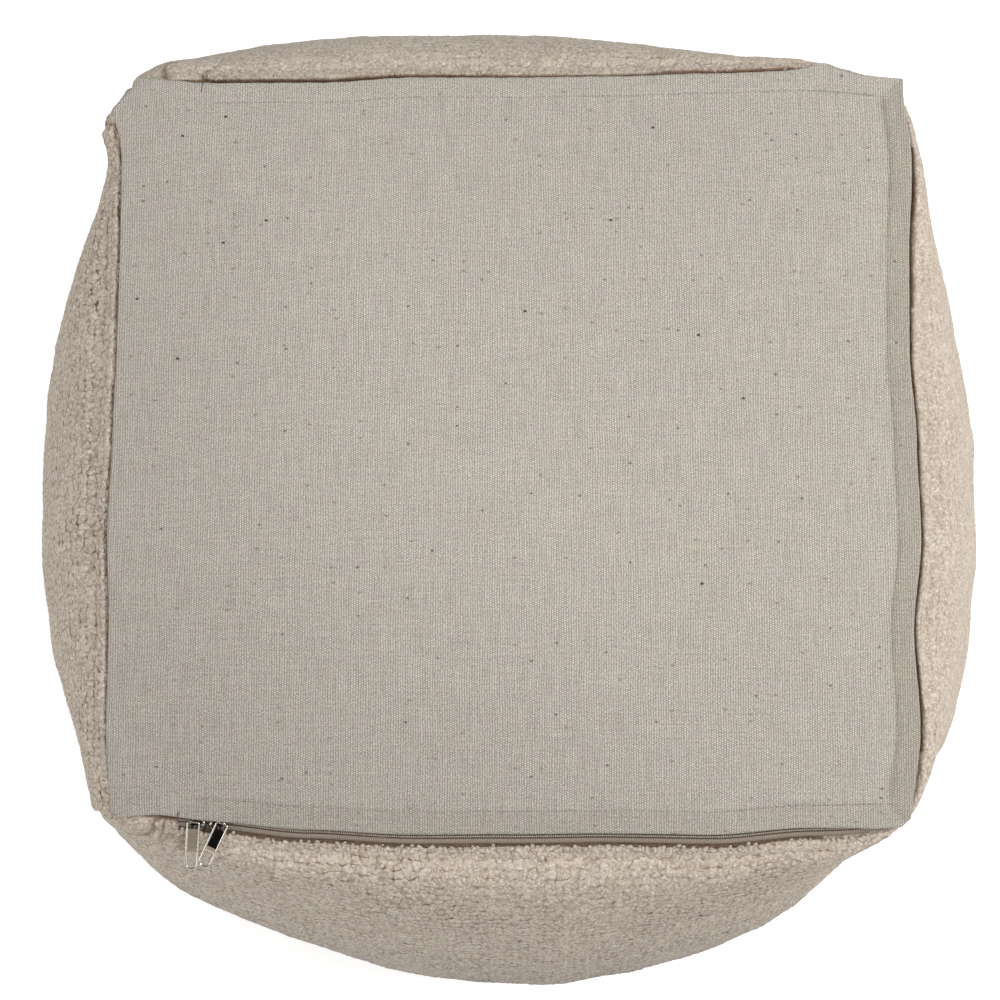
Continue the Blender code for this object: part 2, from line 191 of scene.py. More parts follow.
def ease(x):
    """0 to 1 along a smooth step, for x from 0 to 1."""
    x = np.clip(x, 0.0, 1.0)
    return x * x * (3.0 - 2.0 * x)


def power_bump(x, power):
    """1 at x = 0, rounding off to 0 at -1 and 1."""
    return np.sqrt(np.clip(1.0 - np.abs(x) ** power, 0.0, None))


def underside(t, scale=1.0):
    """Height of the canvas's underside."""
    slope = np.clip((scale - FLAT_RING) / (1.0 - FLAT_RING), 0.0, None)
    return HEIGHT - PANEL_T - (PANEL_DROP + CORNER_DROOP * np.abs(t) ** 6) * slope ** 2


def smooth_curve(a, b, c, d, w):
    """From b to c as w goes from 0 to 1, heading from a and on to d."""
    return 0.5 * (2 * b + (c - a) * w + (2 * a - 5 * b + 4 * c - d) * w ** 2
                  + (3 * b - a - 3 * c + d) * w ** 3)


def along_side(values, t):
    """Eased mm values at even places along a side, in metres."""
    steps = np.array(values) * MM
    place = (t + 1.0) / 2.0 * (len(steps) - 1)
    low = np.clip(place.astype(int), 0, len(steps) - 2)
    return lerp(steps[low], steps[low + 1], ease(place - low))


def flowing(values, t):
    """Mm values at even places along a side as a smooth curve, in metres."""
    steps = np.array((values[0], *values, values[-1])) * MM
    place = (t + 1.0) / 2.0 * (len(values) - 1)
    low = np.clip(place.astype(int), 0, len(values) - 2)
    return smooth_curve(*(steps[low + k] for k in range(4)), place - low)


def rim_at(index, t):
    """The canvas's outline before it is centred, on the level."""
    first, last = CORNERS[index], CORNERS[(index + 1) % 4]
    share = (t + 1.0) / 2.0
    flat = np.stack((lerp(first.x, last.x, share), lerp(first.y, last.y, share),
                     np.zeros_like(share)), axis=-1)
    return flat + np.array(SIDES[index].out) * along_side(SIDES[index].waves, t)[..., None]


def outward(index, t):
    """The way out from a side, turning towards the next side's at its corners."""
    side = np.array(SIDES[index].out, float)
    before = np.array(SIDES[(index - 1) % 4].out, float)
    after = np.array(SIDES[(index + 1) % 4].out, float)
    other = np.where((t > 0)[..., None], after, before)
    return side + other * (np.abs(t) ** CORNER_BLEND)[..., None]


def zipped(index, t):
    """1 where the zip runs, 0 at the plain seam."""
    if index == NEAR:
        return ease((t - ZIP_START_T) / ZIP_EASE + 0.5)
    if index == FAR:
        return ease((ZIP_END_T - t) / ZIP_EASE + 0.5)
    return np.full_like(t, float(index == RIGHT))


def edge_values(number, index, t):
    """How far out and up a row of the cover's top edge is, in metres."""
    row = COVER_EDGE[number]
    share = zipped(index, t)
    weight = np.abs(t) ** CORNER_BLEND
    out = lerp(lerp(row.seam_out, row.zip_out, share), row.corner_out, weight) * MM
    up = lerp(lerp(row.seam_up, row.zip_up, share), row.corner_up, weight) * MM
    if number < LEANING_ROWS:
        out = out - along_side(SIDES[index].lean, t) * share * (1.0 - weight)
    for roll in ROLLS:
        if roll.index == index and number < ROLLING_ROWS:
            here = np.exp(-((t - roll.t) / roll.width) ** 2)
            out, up = out + roll.out * here, up + roll.up * here
    return out, up


def tucked(index, t):
    """How far the top of the cover is drawn in towards a corner seam."""
    first = np.array((*CORNERS[index].tuck, 0.0)) * MM
    last = np.array((*CORNERS[(index + 1) % 4].tuck, 0.0)) * MM
    near = np.where((t > 0)[..., None], last, first)
    return near * (np.abs(t) ** TUCK_BLEND)[..., None]


def softened_seat(points):
    """Round the seat's corners, where three seams meet and the stuffing thins out."""
    spread = np.abs(points[..., :2]) / SEAT_HALF
    ring = np.maximum(spread.max(axis=-1), 1e-9)
    corner = (spread.min(axis=-1) / ring) ** CORNER_ROUND
    low_down = 1.0 - ease(points[..., 2] / CORNER_RISE)
    points = points.copy()
    points[..., :2] *= (1.0 - CORNER_PULL * corner * low_down * ring ** 2)[..., None]
    points[..., 2] += CORNER_LIFT * corner * low_down * ring ** 8
    return points


def seat_at(index, t):
    """The seat's edge at a side, on the level."""
    side = np.array(SIDES[index].out, float)
    first = side + np.array(SIDES[(index - 1) % 4].out)
    last = side + np.array(SIDES[(index + 1) % 4].out)
    return lerp(first, last, ((t + 1.0) / 2.0)[..., None]) * SEAT_HALF


def seam_valley(t):
    """1 in the crease of an upright corner seam, easing to 0 beside it."""
    near = np.clip((np.abs(t) - (1.0 - SEAM_REACH)) / SEAM_REACH, 0.0, 1.0)
    return near ** SEAM_POWER


def side_at(index, t, share):
    """A point on a side, at a share of its height from the seat's edge to the rim."""
    side, before, after = SIDES[index], SIDES[(index - 1) % 4], SIDES[(index + 1) % 4]
    reach = np.where(share > GIRTH_AT, 1.0 - GIRTH_AT, GIRTH_AT)
    height = (share - GIRTH_AT) / reach
    bump = power_bump(height, SIDE_POWER)
    full = lerp(bump, power_bump(height, CORNER_POWER), np.abs(t) ** 6)
    out, waves = np.array(side.out), along_side(side.waves, t)
    straight_rim = rim_at(index, t) - out * waves[..., None]
    base = lerp(seat_at(index, t), straight_rim, ease(share)[..., None])
    lean = (1.0 + side.skew * t) * (1.0 - np.abs(t) ** side.square)
    sink = SEAM_SINK * seam_valley(t)
    edge_out, edge_up = edge_values(0, index, t)
    stuffing = (flowing(side.fill, t) - sink) * full
    bulge = side.bulge * bump * lean + stuffing + waves * share ** WAVE_BLEND
    point = base + out * bulge[..., None]
    point = point + outward(index, t) * (edge_out * share ** EDGE_BLEND)[..., None]
    # A corner seam stands where the stuffing of both its sides puts it.
    beside = (np.where(t > 0, after.fill[0], before.fill[-1]) * MM - sink) * full * np.abs(t) ** 3
    point = point + np.where((t > 0)[..., None], after.out, before.out) * beside[..., None]
    point = point + tucked(index, t) * (share ** 4)[..., None]
    top = underside(t) + edge_up
    point[..., 2] = SEAT_CROWN + (top - SEAT_CROWN) * share
    return point


def edge_at(index, t, number):
    """A point on the cover's top edge, past the side."""
    out, up = edge_values(number, index, t)
    point = rim_at(index, t) + outward(index, t) * out[..., None] + tucked(index, t)
    point[..., 2] = underside(t) + up
    return point


def catmull(points, steps):
    """A smooth curve through rows of points, as many steps from each row to the next."""
    rows = [points[0]]
    for i in range(1, len(points) - 2):
        rows += [smooth_curve(*points[i - 1:i + 3], step / steps) for step in range(1, steps + 1)]
    return rows


# The solids are slid so that the cover's box is centred; the canvas shows by how much.
SHIFT = np.array((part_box("base_canvas")[0].x - rim_at(LEFT, STATIONS)[:, 0].min(),
                  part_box("base_canvas")[0].y - rim_at(NEAR, STATIONS)[:, 1].min(), 0.0))


def lengths_along(line):
    """How far each point of a line is from its start."""
    return np.concatenate(([0.0], np.cumsum(np.linalg.norm(np.diff(line, axis=0), axis=1))))


def points_along(line, lengths, spots):
    """Points at these distances along a line whose own points lie at these lengths."""
    return np.stack([np.interp(spots, lengths, line[:, way]) for way in range(3)], axis=1)


def soft_noise(shape, waves, rng):
    """Smooth noise from -1 to 1 over a grid of vertices, with this many waves each way."""
    rows, columns = shape
    coarse = rng.uniform(-1.0, 1.0, (waves + 2, waves + 2))
    y = np.linspace(0.0, waves, rows)
    x = np.linspace(0.0, waves, columns)
    low_y, low_x = y.astype(int), x.astype(int)
    part_y, part_x = ease(y - low_y)[:, None], ease(x - low_x)[None, :]
    here = lerp(coarse[low_y][:, low_x], coarse[low_y][:, low_x + 1], part_x)
    above = lerp(coarse[low_y + 1][:, low_x], coarse[low_y + 1][:, low_x + 1], part_x)
    return lerp(here, above, part_y)


# ---------------------------------------------------------------- node helpers

class Field:
    """A value in a node tree that takes part in sums like a number."""

    def __init__(self, tree, socket):
        self.tree, self.socket = tree, socket

    def math(self, operation, *others):
        made = self.tree.nodes.new("ShaderNodeMath")
        made.operation = operation
        for number, value in enumerate((self, *others)):
            if isinstance(value, Field):
                self.tree.links.new(value.socket, made.inputs[number])
            else:
                made.inputs[number].default_value = float(value)
        return Field(self.tree, made.outputs[0])

    def __add__(self, other):
        return self.math("ADD", other)

    def __sub__(self, other):
        return self.math("SUBTRACT", other)

    def __mul__(self, other):
        return self.math("MULTIPLY", other)

    def __truediv__(self, other):
        return self.math("DIVIDE", other)

    def __pow__(self, other):
        return self.math("POWER", other)

    def __abs__(self):
        return self.math("ABSOLUTE")

    def sine(self):
        return self.math("SINE")

    def whole(self):
        return self.math("FLOOR")

    def most(self, other):
        return self.math("MAXIMUM", other)

    def held(self):
        """Held between 0 and 1."""
        return self.math("MAXIMUM", 0.0).math("MINIMUM", 1.0)

    def between(self, low, high, to_low=0.0, to_high=1.0, kind="LINEAR"):
        """Map low..high to to_low..to_high, held at the ends."""
        made = node(self.tree, "ShaderNodeMapRange", {"clamp": True, "interpolation_type": kind},
                    Value=self.socket, From_Min=low, From_Max=high, To_Min=to_low, To_Max=to_high)
        return Field(self.tree, made.outputs["Result"])


def node(tree, kind, settings=None, **inputs):
    """Add a node; inputs are values or sockets, named with _ for a space, in_0 by number."""
    made = tree.nodes.new(kind)
    for key, value in (settings or {}).items():
        setattr(made, key, value)
    for key, value in inputs.items():
        if key.startswith("in_"):
            socket = made.inputs[int(key[3:])]
        else:
            socket = made.inputs[key.replace("_", " ")]
        if isinstance(value, bpy.types.NodeSocket):
            tree.links.new(value, socket)
        else:
            socket.default_value = value
    return made


def axis(tree, vector, name):
    """One axis of a vector."""
    return Field(tree, node(tree, "ShaderNodeSeparateXYZ", Vector=vector).outputs[name])


def nudged(tree, vector, by, reach):
    """A vector with another one, times a reach for each axis, added to it."""
    made = node(tree, "ShaderNodeVectorMath", {"operation": "MULTIPLY_ADD"}, in_0=by, in_1=reach,
                in_2=vector)
    return made.outputs[0]


def noise_vector(tree, vector, scale, detail):
    """Three noises at once, as a vector."""
    return node(tree, "ShaderNodeTexNoise", Vector=vector, Scale=scale,
                Detail=detail).outputs["Color"]


# ---------------------------------------------------------------- the boucle's pattern

# At a place on the cloth: how high it stands, 0 to 1; the way to the nearest gap between loops
# and to the loop's own middle, in loops; a chance for each loop; and 1 on a line between rows.
Cells = namedtuple("Cells", "crown gap away chance line")


def loop_cells(tree, cloth):
    """The boucle's loops, by nodes that serve a material and a mesh alike."""
    bent = nudged(tree, cloth, noise_vector(tree, cloth, 120.0, 2.0), (*WANDER, 0.0))
    place = node(tree, "ShaderNodeVectorMath", {"operation": "MULTIPLY"}, in_0=bent,
                 in_1=(1.0 / LOOP_W, 1.0 / ROW_H, 0.0)).outputs[0]
    loops, gaps = (node(tree, "ShaderNodeTexVoronoi", {"voronoi_dimensions": "2D", "feature": kind},
                        Vector=place, Scale=1.0, Randomness=LOOP_CHAOS)
                   for kind in ("F1", "DISTANCE_TO_EDGE"))
    away, gap = Field(tree, loops.outputs["Distance"]), Field(tree, gaps.outputs["Distance"])
    chance = axis(tree, loops.outputs["Color"], "X")
    line = (axis(tree, place, "Y") * math.tau - math.pi * (0.5 + LOOP_CHAOS)).sine() * 0.5 + 0.5
    crown = gap.between(0.0, 0.24, kind="SMOOTHSTEP") * (chance * 0.35 + 0.65)
    return Cells(crown, gap, away, chance, line)


def loops_at(u, v):
    """How high the loops stand at many places on the cloth, worked out by the same nodes."""
    mesh = bpy.data.meshes.new("cloth_places")
    mesh.vertices.add(u.size)
    mesh.vertices.foreach_set("co", np.stack((u, v, np.zeros_like(u)), -1).astype(np.float32).ravel())
    holder = bpy.data.objects.new("cloth_places", mesh)
    bpy.context.scene.collection.objects.link(holder)
    tree = bpy.data.node_groups.new("cloth_places", "GeometryNodeTree")
    for way in ("INPUT", "OUTPUT"):
        tree.interface.new_socket("Geometry", in_out=way, socket_type="NodeSocketGeometry")
    place = tree.nodes.new("GeometryNodeInputPosition").outputs[0]
    stored = node(tree, "GeometryNodeStoreNamedAttribute", {"data_type": "FLOAT", "domain": "POINT"},
                  Geometry=tree.nodes.new("NodeGroupInput").outputs[0], Name="crown",
                  Value=loop_cells(tree, place).crown.socket)
    tree.links.new(stored.outputs[0], tree.nodes.new("NodeGroupOutput").inputs[0])
    holder.modifiers.new("loops", "NODES").node_group = tree
    bpy.context.view_layer.update()
    drawn = holder.evaluated_get(bpy.context.evaluated_depsgraph_get()).data
    values = np.empty(u.size, np.float32)
    drawn.attributes["crown"].data.foreach_get("value", values)
    bpy.data.objects.remove(holder)
    bpy.data.meshes.remove(mesh)
    bpy.data.node_groups.remove(tree)
    return values.reshape(u.shape)


# ---------------------------------------------------------------- mesh helpers

def grid_piece(name, columns, rows):
    """A grid as a new mesh, with the order in which its vertices run row by row."""
    bm = bmesh.new()
    bmesh.ops.create_grid(bm, x_segments=columns, y_segments=rows, size=0.5)
    mesh = bpy.data.meshes.new(name)
    bm.to_mesh(mesh)
    bm.free()
    flat = np.empty(len(mesh.vertices) * 3)
    mesh.vertices.foreach_get("co", flat)
    x = np.rint((flat[0::3] + 0.5) * columns).astype(int)
    y = np.rint((flat[1::3] + 0.5) * rows).astype(int)
    return mesh, y * (columns + 1) + x


def set_places(mesh, order, points):
    """Put a grid's vertices at these points, given row by row."""
    flat = points.reshape(-1, 3)[order]
    mesh.vertices.foreach_set("co", flat.astype(np.float32).ravel())
    mesh.update()


def set_cloth_map(mesh, order, across, along):
    """Lay a UV map in metres along the cloth."""
    places = np.stack((across.ravel()[order], along.ravel()[order]), axis=1)
    corners = np.empty(len(mesh.loops), np.int32)
    mesh.loops.foreach_get("vertex_index", corners)
    layer = mesh.uv_layers.new(name="cloth")
    layer.data.foreach_set("uv", places[corners].astype(np.float32).ravel())


def set_amount(mesh, order, name, values):
    """Store a number for each vertex of a grid."""
    attribute = mesh.attributes.new(name, "FLOAT", "POINT")
    attribute.data.foreach_set("value", values.ravel()[order].astype(np.float32))


def surface_normals(points):
    """Unit normals of a grid of points."""
    along = np.gradient(points, axis=1)
    up = np.gradient(points, axis=0)
    normal = np.cross(along, up)
    length = np.linalg.norm(normal, axis=-1, keepdims=True)
    return normal / np.maximum(length, 1e-12)


def finished(name, mesh, material):
    """A finished piece: smooth, with its material, riding on the pouf."""
    mesh.materials.clear()
    mesh.materials.append(material)
    mesh.shade_smooth()
    piece = bpy.data.objects.new(name, mesh)
    bpy.context.scene.collection.objects.link(piece)
    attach(piece, "root")
    return piece


def from_bmesh(name, bm, material):
    """A finished piece from a bmesh, its faces turned outwards."""
    bmesh.ops.recalc_face_normals(bm, faces=bm.faces)
    mesh = bpy.data.meshes.new(name)
    bm.to_mesh(mesh)
    bm.free()
    return finished(name, mesh, material)


def joined_copies(name, shape, places):
    """One mesh of many copies of a small bmesh, one for each 4 by 4 matrix."""
    shape.verts.index_update()
    points = np.array([[*vert.co, 1.0] for vert in shape.verts])
    faces = [[vert.index for vert in face.verts] for face in shape.faces]
    shape.free()
    corners = np.array([index for face in faces for index in face])
    sizes = np.array([len(face) for face in faces])
    places = np.array(places)
    copies = len(places)
    spread = np.einsum("nij,kj->nki", places, points)[..., :3]
    mesh = bpy.data.meshes.new(name)
    mesh.vertices.add(copies * len(points))
    mesh.vertices.foreach_set("co", spread.astype(np.float32).ravel())
    step = np.arange(copies)[:, None] * len(points)
    mesh.loops.add(copies * len(corners))
    mesh.loops.foreach_set("vertex_index", (corners[None, :] + step).astype(np.int32).ravel())
    starts = np.concatenate(([0], np.cumsum(sizes)[:-1]))
    loop_step = np.arange(copies)[:, None] * len(corners)
    mesh.polygons.add(copies * len(faces))
    mesh.polygons.foreach_set("loop_start", (starts[None, :] + loop_step).astype(np.int32).ravel())
    mesh.update(calc_edges=True)
    mesh.validate()
    return mesh


# ---------------------------------------------------------------- materials

def new_material(name):
    """A material, its node tree and its shader."""
    material = bpy.data.materials.new(name)
    material.use_nodes = True
    tree = material.node_tree
    return material, tree, tree.nodes["Principled BSDF"]


def on_piece(tree):
    """Places on a piece, in its own metres."""
    return node(tree, "ShaderNodeTexCoord").outputs["Object"]


def on_cloth(tree):
    """Places on a piece of cloth laid flat, in metres."""
    return node(tree, "ShaderNodeUVMap", {"uv_map": "cloth"}).outputs["UV"]


def set_finish(shader, **amounts):
    """Set a shader's own sockets, named with _ for a space."""
    for name, value in amounts.items():
        shader.inputs[name.replace("_", " ")].default_value = value


def noise(tree, vector, scale, detail=2.0, roughness=0.5, distortion=0.0):
    """A noise with this many waves to the metre."""
    made = node(tree, "ShaderNodeTexNoise", Vector=vector, Scale=scale, Detail=detail,
                Roughness=roughness, Distortion=distortion)
    return Field(tree, made.outputs["Fac"])


def blend_colours(tree, share, first, second, kind="MIX"):
    """The first colour turning into the second, or multiplied by it, as share goes to 1."""
    made = node(tree, "ShaderNodeMix", {"data_type": "RGBA", "blend_type": kind})
    share = share.socket if isinstance(share, Field) else share
    for socket, value in ((made.inputs[0], share), (made.inputs[6], first), (made.inputs[7], second)):
        if isinstance(value, bpy.types.NodeSocket):
            tree.links.new(value, socket)
        else:
            socket.default_value = value
    return made.outputs[2]


def relief(tree, height, distance, strength=1.0, before=None):
    """A bump of a real height in metres, on top of another."""
    inputs = {"Height": height.socket, "Distance": distance, "Strength": strength}
    if before is not None:
        inputs["Normal"] = before
    return node(tree, "ShaderNodeBump", **inputs).outputs["Normal"]


def stretched(tree, vector, scale):
    """Places in which a pattern repeats this many times as often along each axis."""
    return node(tree, "ShaderNodeMapping", {"vector_type": "POINT"}, Vector=vector,
                Scale=scale).outputs["Vector"]


BOUCLE_LIGHT = (0.439, 0.374, 0.310, 1.0)
BOUCLE_PALE = (0.663, 0.599, 0.519, 1.0)
BOUCLE_ROSE = (0.444, 0.358, 0.305, 1.0)
BOUCLE_STRAW = (0.444, 0.374, 0.278, 1.0)
# Painted shade of the yarn: between its knots, on the loops' low flanks and in random dark specks
BOUCLE_PAINTED_SHADE = (0.246, 0.198, 0.155, 1.0)
# Painted shade in the gaps between the loops, in the cover's creases and on its turned edge
BOUCLE_PAINTED_GAP_SHADE = (0.130, 0.075, 0.042, 1.0)
# Painted shade: the boucle is multiplied darker and greyer low down, towards the seat, standing in
# for the light that falls off there
LOW_PAINTED_SHADE = (0.640, 0.660, 0.700, 1.0)
PAINTED_SHADE_HEIGHTS = (0.10, 0.34)     # heights between which the sides take on that shade


def yarn_colour(tree, place):
    """Undyed cotton: cream, with rose and straw shades a few centimetres wide and pale lint, and
    painted shade in random dark specks for the hollows between the yarn's knots."""
    rosy = noise(tree, place, 95.0, 3.0, 0.6)
    straw = noise(tree, stretched(tree, place, (1.3, 0.8, 1.1)), 70.0, 3.0, 0.6)
    lint = noise(tree, place, 620.0, 3.0, 0.7, 0.4)
    yarn = blend_colours(tree, rosy.between(0.48, 0.66, 0.0, 0.60), BOUCLE_LIGHT, BOUCLE_ROSE)
    yarn = blend_colours(tree, straw.between(0.50, 0.68, 0.0, 0.60), yarn, BOUCLE_STRAW)
    yarn = blend_colours(tree, lint.between(0.50, 0.66, 0.0, 0.90), yarn, BOUCLE_PALE)
    # Painted shade: random dark specks for the hollows between the knots
    return blend_colours(tree, lint.between(0.32, 0.47, 0.60, 0.0), yarn, BOUCLE_PAINTED_SHADE)


def yarn_finish(shader):
    """Matt cotton with a faint bloom."""
    set_finish(shader, Roughness=0.95, Specular_IOR_Level=0.12, Sheen_Weight=0.06,
               Sheen_Roughness=0.55, Sheen_Tint=(1.0, 0.96, 0.90, 1.0))


def knots_at(tree, place):
    """The twisted yarn's small knots, a little taller than wide: 1 on a knot, 0 between them."""
    knots = node(tree, "ShaderNodeTexVoronoi", Vector=stretched(tree, place, (1.0, 1.0, 0.6)),
                 Scale=KNOTS)
    return Field(tree, knots.outputs["Distance"]).between(0.15, 0.80, 1.0, 0.0)


def yarn_relief(tree, place, knots, height, before=None):
    """The bump of a twisted yarn: its knots, and fine fibres over them."""
    twist = relief(tree, knots, height, 0.8, before)
    fibres = noise(tree, place, 1700.0, 3.0, 0.65)
    return relief(tree, fibres, 0.25 * MM, 0.6, twist)


def amount(tree, name):
    """A number that the piece's vertices carry."""
    return Field(tree, node(tree, "ShaderNodeAttribute", {"attribute_name": name}).outputs["Fac"])


def boucle_material():
    """Cream cotton boucle: soft loops in uneven rows, painted brown shade in their gaps, knotty yarn,
    and painted shade between its knots and low down.
    """
    material, tree, shader = new_material("boucle")
    place = on_piece(tree)
    cloth = on_cloth(tree)
    cells = loop_cells(tree, cloth)
    broken = noise(tree, place, 330.0, 2.0).between(0.42, 0.54)
    blotchy = noise(tree, place, 60.0, 2.0).between(0.36, 0.56, 0.55, 1.0)
    clear, painted_shade = amount(tree, "clear"), amount(tree, "painted_shade")
    # Painted shade: pits and broken creases in the gaps between loops, with the panel's own painted
    # shade, darken towards deep brown
    pit = cells.away.between(0.62, 0.76) * cells.line.between(0.3, 0.8, 0.2, 0.9)
    crease = cells.gap.between(0.015, 0.075, 1.0, 0.0) * broken
    crease = crease * cells.line.between(0.35, 0.75, 0.10, 0.95)
    depth = (pit.most(crease) * blotchy * clear + painted_shade).held()
    knots = knots_at(tree, place)
    yarn = yarn_colour(tree, place)
    # Painted shade between the yarn's knots and on the loops' low flanks
    yarn = blend_colours(tree, knots.between(0.0, 0.45, 0.62, 0.0) * (clear * 0.8 + 0.2), yarn,
                         BOUCLE_PAINTED_SHADE)
    yarn = blend_colours(tree, cells.crown.between(0.0, 0.40, 0.10, 0.0) * clear, yarn, BOUCLE_PAINTED_SHADE)
    yarn = blend_colours(tree, cells.chance.between(0.60, 1.0, 0.0, 0.25), yarn, BOUCLE_PALE)
    yarn = blend_colours(tree, depth, yarn, BOUCLE_PAINTED_GAP_SHADE)
    # Painted shade: darker and greyer towards the seat, between these heights
    low = axis(tree, place, "Z").between(*PAINTED_SHADE_HEIGHTS, 1.0, 0.0, "SMOOTHSTEP")
    yarn = blend_colours(tree, low, yarn, LOW_PAINTED_SHADE, "MULTIPLY")
    tree.links.new(yarn, shader.inputs["Base Color"])
    loops = relief(tree, cells.crown * clear - depth * 0.6, 0.22 * MM, 0.8)
    tree.links.new(yarn_relief(tree, place, knots, 0.34 * MM, loops), shader.inputs["Normal"])
    yarn_finish(shader)
    return material


def loose_yarn_material():
    """The same yarn where it stands up in single loops."""
    material, tree, shader = new_material("loose_yarn")
    place = on_piece(tree)
    knots = knots_at(tree, place)
    # Painted shade between the yarn's knots
    yarn = blend_colours(tree, knots.between(0.0, 0.45, 0.40, 0.0), yarn_colour(tree, place),
                         BOUCLE_PAINTED_SHADE)
    tree.links.new(yarn, shader.inputs["Base Color"])
    tree.links.new(yarn_relief(tree, place, knots, 0.60 * MM), shader.inputs["Normal"])
    yarn_finish(shader)
    return material


CANVAS_OVER = (0.668, 0.628, 0.562, 1.0)
CANVAS_GAP = (0.170, 0.146, 0.120, 1.0)
CANVAS_STRAW = (0.560, 0.465, 0.320, 1.0)
HEM_SHADE = (0.850, 0.840, 0.815, 1.0)
# Painted shade: the canvas darkens towards its near-left corner, its near edge and away from its
# middle
CANVAS_PAINTED_SHADE = (0.520, 0.510, 0.520, 1.0)
PALEST_TINT = (0.945, 0.955, 0.940)
TINT_REACH = (0.11, 0.09, 0.12)
TUCK_PAINTED_SHADE = (0.060, 0.045, 0.035, 1.0)
FLECK_DARK = (0.030, 0.028, 0.026, 1.0)
FLECK_BROWN = (0.200, 0.150, 0.105, 1.0)
FLECK_RUST = (0.380, 0.190, 0.075, 1.0)
FLECK_RAGGED = 0.9 * MM     # how far a fleck's outline strays
WARP_PITCH = 1.38 * MM
WEFT_PITCH = 0.64 * MM
THREAD_WANDER = 2.4 * MM
THREAD_SHAKE = 0.62 * MM
CLOTH_ORIGIN = (3.17, 1.91, 0.0)    # where on the bolt the panel was cut, in metres

# Small tucks in the canvas where the zip begins and ends, drawn only as painted shade in dark lines:
# x, y of both ends, and half its width
Tuck = namedtuple("Tuck", "x y x_end y_end half")
TUCKS = (
    Tuck(-0.1790, 0.2150, -0.1800, 0.2058, 0.55 * MM),
    Tuck(-0.1862, -0.2140, -0.1856, -0.2092, 0.75 * MM),
)

# Husks and slubs: places for them in a metre, the share of those that hold one, their size as a
# share of a place, how long they are, and how dark
Fleck = namedtuple("Fleck", "places share size stretch colour strength")
FLECKS = (
    Fleck(58.0, 0.026, 0.055, 0.70, FLECK_DARK, 0.95),
    Fleck(90.0, 0.060, 0.080, 0.80, FLECK_DARK, 0.65),
    Fleck(125.0, 0.110, 0.115, 0.55, FLECK_BROWN, 0.60),
    Fleck(40.0, 0.012, 0.090, 0.55, FLECK_RUST, 0.55),
)


def canvas_material():
    """Plain-weave canvas: pale threads over darker ones, threads of slightly unlike colours, dark
    flecks, a greyer doubled hem, painted shade falling off towards its near-left corner, and the
    painted shade of two small tucks at the ends of the zip."""
    material, tree, shader = new_material("canvas")
    cloth = on_cloth(tree)
    cloth = node(tree, "ShaderNodeVectorMath", {"operation": "ADD"}, in_0=cloth,
                 in_1=CLOTH_ORIGIN).outputs[0]
    shaken = nudged(tree, cloth, noise_vector(tree, cloth, 32.0, 3.0),
                    (THREAD_WANDER, THREAD_WANDER, 0.0))
    shaken = nudged(tree, shaken, noise_vector(tree, cloth, 420.0, 1.0),
                    (THREAD_SHAKE, THREAD_SHAKE, 0.0))
    warp_place = axis(tree, shaken, "X") / WARP_PITCH
    weft_place = axis(tree, shaken, "Y") / WEFT_PITCH
    warp = abs((warp_place * math.pi).sine())
    weft = abs((weft_place * math.pi).sine())
    parity = (warp_place.whole() + weft_place.whole()).math("MODULO", 2.0)
    over = warp ** 0.5 * (weft ** 0.5 * 0.55 + 0.45)
    weave = (parity * 0.44 + 0.56) * over
    weft_threads = noise(tree, stretched(tree, cloth, (38.0, 900.0, 1.0)), 1.0, 3.0, 0.6)
    warp_threads = noise(tree, stretched(tree, cloth, (900.0, 42.0, 1.0)), 1.0, 3.0, 0.6)
    grain = noise(tree, cloth, 900.0, 2.0, 0.7)
    hem = amount(tree, "hem")
    bright = weave * grain.between(0.28, 0.72, 0.40, 1.55)
    bright = bright * warp_threads.between(0.30, 0.70, 0.75, 1.15)
    bright = bright * weft_threads.between(0.30, 0.70, 0.86, 1.08)
    tone = blend_colours(tree, bright.held(), CANVAS_GAP, CANVAS_OVER)
    tone = blend_colours(tree, weft_threads.between(0.52, 0.74, 0.0, 0.22), tone, CANVAS_STRAW)
    tone = tints_and_painted_shade(tree, tone, cloth)
    tone = blend_colours(tree, hem, tone, HEM_SHADE, "MULTIPLY")
    # Painted shade along the two tucks
    for tuck in TUCKS:
        tone = blend_colours(tree, tuck_line(tree, cloth, tuck), tone, TUCK_PAINTED_SHADE)
    tone = flecks(tree, cloth, tone)
    tree.links.new(tone, shader.inputs["Base Color"])
    threads = relief(tree, weave, 0.30 * MM, 0.8)
    tree.links.new(relief(tree, grain, 0.12 * MM, 0.5, threads), shader.inputs["Normal"])
    set_finish(shader, Roughness=0.9, Specular_IOR_Level=0.18, Sheen_Weight=0.08,
               Sheen_Roughness=0.5)
    return material


def on_panel(tree, cloth):
    """x and y on the base panel, from the pouf's middle."""
    return (axis(tree, cloth, name) - start for name, start in zip("XY", CLOTH_ORIGIN))


def tuck_line(tree, cloth, tuck):
    """Where a tuck's painted shade lies: 1 along a tuck, 0 beside it."""
    x, y = on_panel(tree, cloth)
    middle = y.between(tuck.y, tuck.y_end) * (tuck.x_end - tuck.x) + tuck.x
    beside = abs(x - middle).between(0.3 * tuck.half, tuck.half, 0.8, 0.0)
    low, high = sorted((tuck.y, tuck.y_end))
    past_low = y.between(low - 0.6 * MM, low + 0.6 * MM)
    return beside * past_low * y.between(high - MM, high + MM, 1.0, 0.0)


